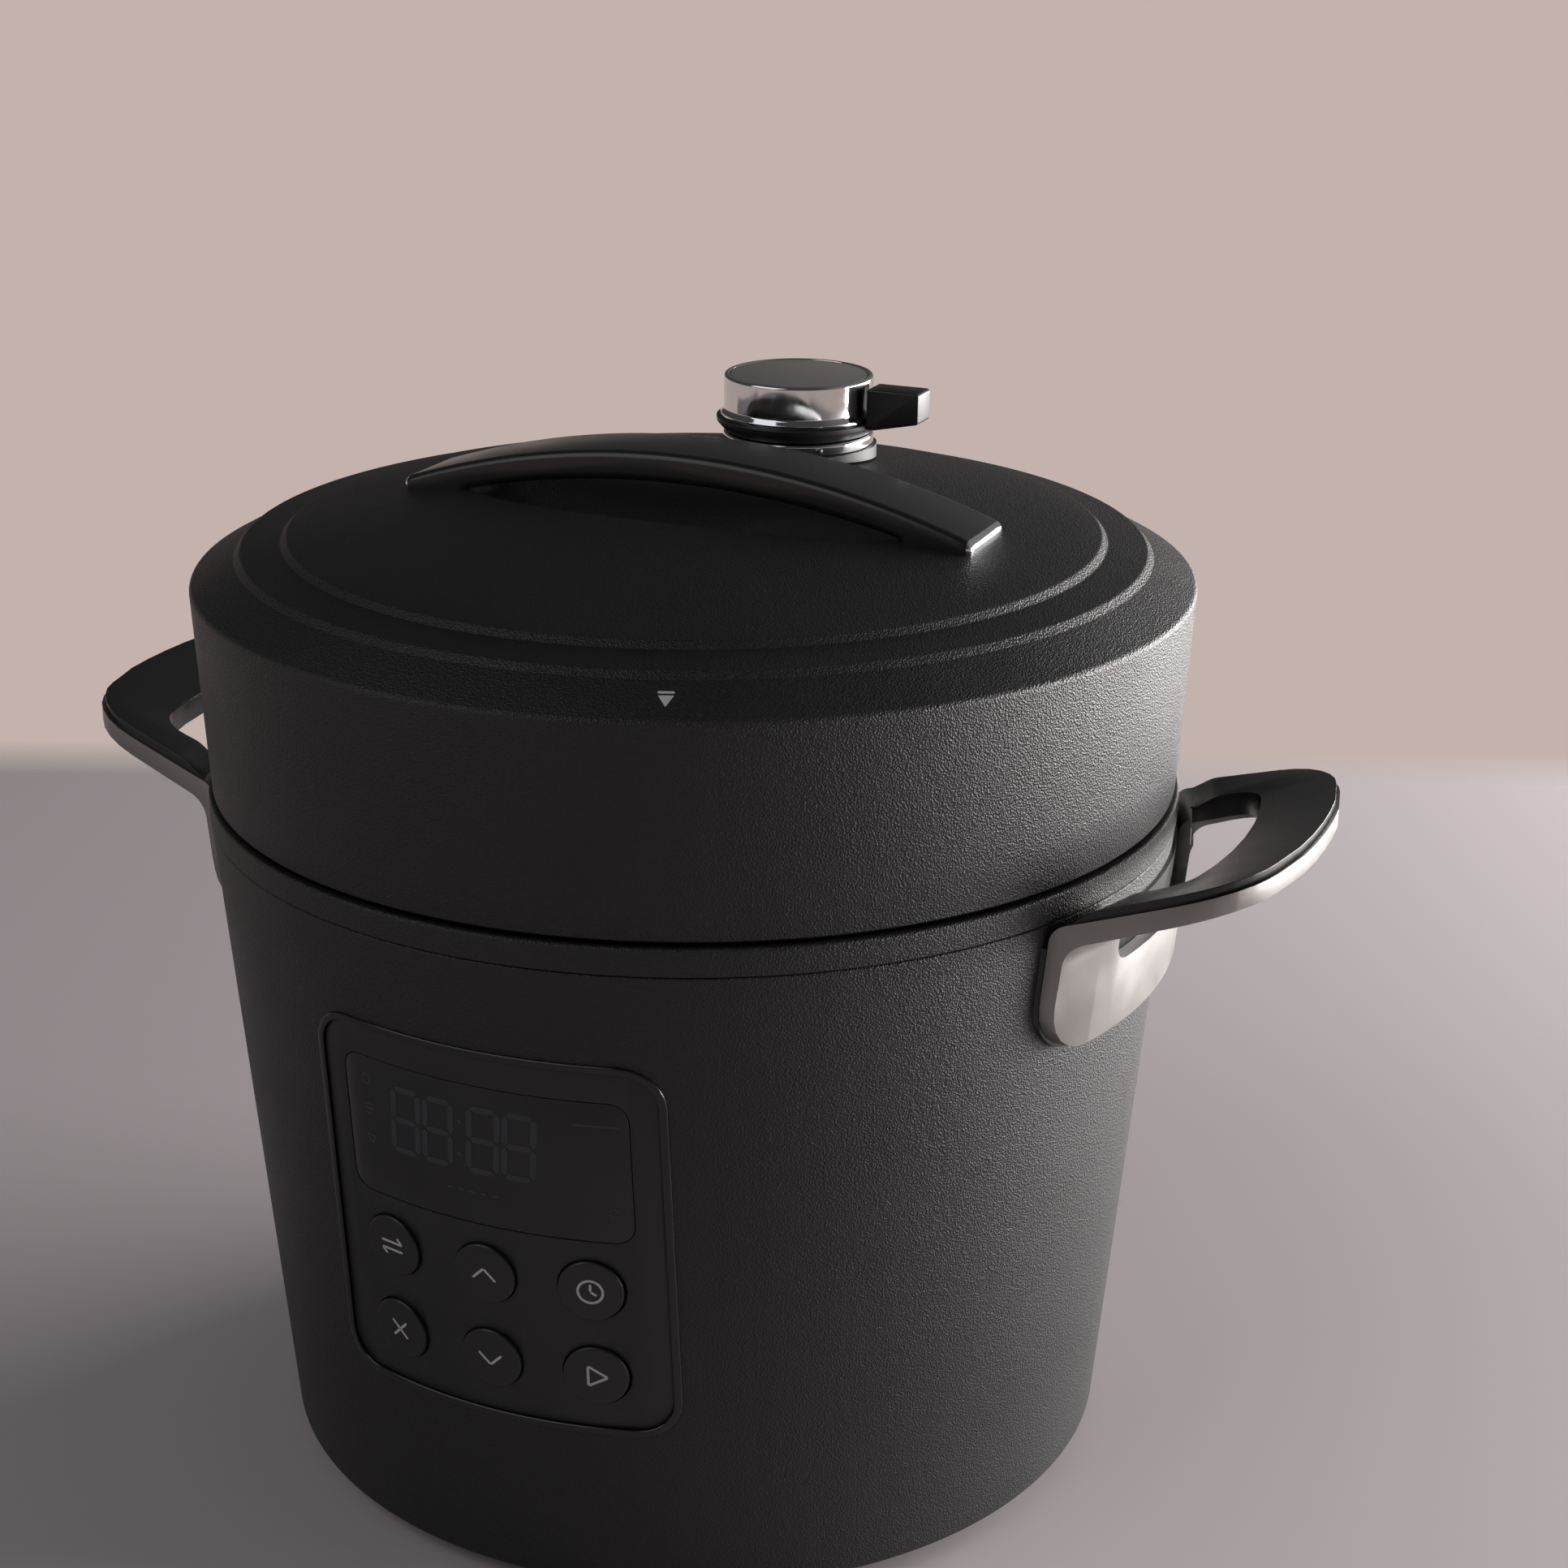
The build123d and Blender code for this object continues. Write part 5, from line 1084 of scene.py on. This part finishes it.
def make_side_handles():
    """Steel bracket with its mounting plate, and the black grip over it, on both sides."""
    outer = GRIP_R + 2
    bracket = turned("bracket", [
        (wall_r(PLATE_LOW) + PAD_T, PLATE_LOW),
        (wall_r(LOOP_Z) + PAD_T, LOOP_Z, 4.5),
        (outer, loop_top(outer)),
        (outer, loop_top(outer) - LOOP_T),
        (wall_r(LOOP_Z) + PAD_T + PLATE_T, LOOP_Z - LOOP_T, 6),
        (wall_r(PLATE_LOW) + PAD_T + PLATE_T, PLATE_LOW),
    ])
    cut(bracket, column(loop_outline(0)), "INTERSECT")
    cut(bracket, side_cutter(2 * PLATE_HALF + 2, PLATE_LOW - 0.01, LOOP_ABOVE, PLATE_CORNER), "INTERSECT")
    slot = side_cutter(2 * SLOT_HALF, LOOP_Z - LOOP_T - SLOT_DROP, LOOP_ABOVE, 4)
    cut(bracket, cut(column(hole_outline(GRIP_LINING)), slot, "INTERSECT"))
    beyond = turned("tool", [(GRIP_FOOT - 0.1, PLATE_LOW), (2 * BODY_R, PLATE_LOW),
                             (2 * BODY_R, LOOP_ABOVE), (GRIP_FOOT - 0.1, LOOP_ABOVE)])
    upper = side_cutter(2 * PLATE_HALF, LOOP_Z - LOOP_T - 1.5, LOOP_ABOVE, 1)
    upper = cut(column(hole_outline(GRIP_LINING)), upper, "INTERSECT")
    cut(bracket, cut(upper, beyond, "INTERSECT"))
    soften(bracket, 1.1, 3, 50)
    smooth(settle(bracket, "right_bracket_steel"))

    crown = turned("crown", [
        (GRIP_FOOT, loop_top(GRIP_FOOT) + 0.02),
        (GRIP_FOOT + 5, loop_top(GRIP_FOOT + 5) + GRIP_CROWN, 8),
        (GRIP_R + 1, loop_top(GRIP_R + 1) + GRIP_CROWN),
        (GRIP_R + 1, loop_top(GRIP_R + 1) + 0.02),
    ])
    cut(crown, column(loop_outline(GRIP_INSET)), "INTERSECT")
    lining = turned("lining", [
        (GRIP_FOOT, loop_top(GRIP_FOOT) - LOOP_T + 0.8),
        (GRIP_FOOT, loop_top(GRIP_FOOT) + 0.5),
        (GRIP_R, loop_top(GRIP_R) + 1.0),
        (GRIP_R, loop_top(GRIP_R) - LOOP_T + 0.8),
    ])
    cut(lining, column(hole_outline(GRIP_LINING - 0.1)), "INTERSECT")
    grip = cut(cut(crown, lining, "UNION"), column(hole_outline(0)))
    soften(grip, 1.3, 4, 50)
    smooth(settle(grip, "right_grip_cover"))

    left_bracket = mirrored(bracket, "left_bracket_steel")
    left_grip = mirrored(grip, "left_grip_cover")
    fit(bracket, SATIN_STEEL, "base", "satin_steel", "right_handle_bracket")
    fit(left_bracket, SATIN_STEEL, "base", "satin_steel", "left_handle_bracket")
    fit(grip, SATIN_BLACK, "base", "satin_black_plastic", "right_handle_grip")
    fit(left_grip, SATIN_BLACK, "base", "satin_black_plastic", "left_handle_grip")


# ------------ pot and seal
POT_R = 78.0
POT_WALL = 1.8
POT_BASE = 2.4
POT_RIM_T = 1.5
SEAL_IN = 78.0
SEAL_LIP = 1.6


def make_pot():
    rim_r, top, foot = pot_high.x, pot_high.z, pot_low.z
    pot = turned("cooking_pot", [
        (0, foot),
        (POT_R, foot, 12),
        (POT_R, top - POT_RIM_T, 1.2),
        (rim_r, top - POT_RIM_T, 0.6),
        (rim_r, top, 0.7),
        (POT_R - POT_WALL, top, 1.4),
        (POT_R - POT_WALL, foot + POT_BASE, 10.5),
        (0, foot + POT_BASE),
    ])
    fit(pot, NONSTICK, "inner_pot", "nonstick_coating", "inner_pot")


def make_seal():
    """Ring of silicone with a groove that opens inwards."""
    low, high, inner, lip = seal_low, seal_high, SEAL_IN, SEAL_LIP
    ring_piece = turned("silicone_ring", [
        (inner, low.z, 0.4),
        (high.x, low.z, 0.9),
        (high.x, high.z, 0.9),
        (inner + 0.5, high.z, 0.4),
        (inner + 0.5, high.z - lip, 0.3),
        (high.x - 2, high.z - lip, 0.5),
        (high.x - 2, low.z + lip, 0.5),
        (inner, low.z + lip, 0.3),
    ])
    fit(ring_piece, SILICONE, "seal", "silicone", "seal_ring")


# ------------ the making
make_camera()
GRAINED = leather_grained_abs()
SATIN_BLACK = spark_eroded_abs("satin_nylon_black", "#1d1d1d", 0.27, 0.4, 0.015)
MATT_BLACK = spark_eroded_abs("spark_eroded_abs_black", "#161617", 0.45)
PANEL_MATT = spark_eroded_abs("spark_eroded_panel_abs", "#161718", 0.42, 0.45, 0.03)
BUTTON_MATT = spark_eroded_abs("spark_eroded_button_abs", "#17181a", 0.36, 0.45, 0.015)
GLOSS_BLACK = polished_abs("polished_black_abs", "#121213", 0.16)
SMOKED = smoked_acrylic()
MARK_INK = screen_ink("screen_printed_grey", "#b9babb")
LID_INK = screen_ink("pad_printed_grey", "#d6d6d6")
UNLIT_SEGMENT = screen_ink("unlit_lcd_segment", "#323437")
SATIN_STEEL = satin_stainless()
CHROME = bright_chrome_plate()
TURNED_STEEL = lathe_turned_steel((0, VALVE_Y, CAP_TOP))
NONSTICK = speckled_nonstick()
SILICONE = translucent_silicone()
CARRIED = {  # finishes of the CAD nodes that are shown as they are, by material slot
    "black_grained_plastic": GRAINED,
    "black_plastic": MATT_BLACK,
    "satin_black_plastic": SATIN_BLACK,
    "gloss_black_trim": GLOSS_BLACK,
    "smoked_window": SMOKED,
    "lcd": polished_abs("lcd_glass", "#23262a", 0.1),
    "button_plastic": BUTTON_MATT,
    "satin_steel": SATIN_STEEL,
    "bright_chrome": CHROME,
    "satin_disc": TURNED_STEEL,
    "pressed_steel": drawn_stainless(),
    "plated_steel": zinc_plated_steel(),
    "nonstick_coating": NONSTICK,
    "cast_aluminium": cast_aluminium(),
    "black_rubber": moulded_rubber(),
    "silicone": SILICONE,
    "circuit_board": solder_masked_board(),
    "component_plastic": flame_retardant_nylon(),
}
for part in frame["record"]["subparts"]:
    cad_node = frame["nodes"][part["node"]]
    cad_node.data.materials.clear()
    cad_node.data.materials.append(CARRIED[part["material_slot"]])

make_housing()
make_collar()
make_lid()
make_lid_handle()
make_valve()
make_panel()
make_buttons()
make_display()
make_lid_mark()
make_side_handles()
make_pot()
make_seal()

make_room()
make_floor()
make_light("window", 106, 1.3, 0.2, (1.5, 0.34), 50, "#fffcfb")
make_light("fill", -60, 1.5, 1.3, (1.5, 1.5), 8, "#fbfbff")
bpy.context.scene.view_settings.view_transform = "Standard"
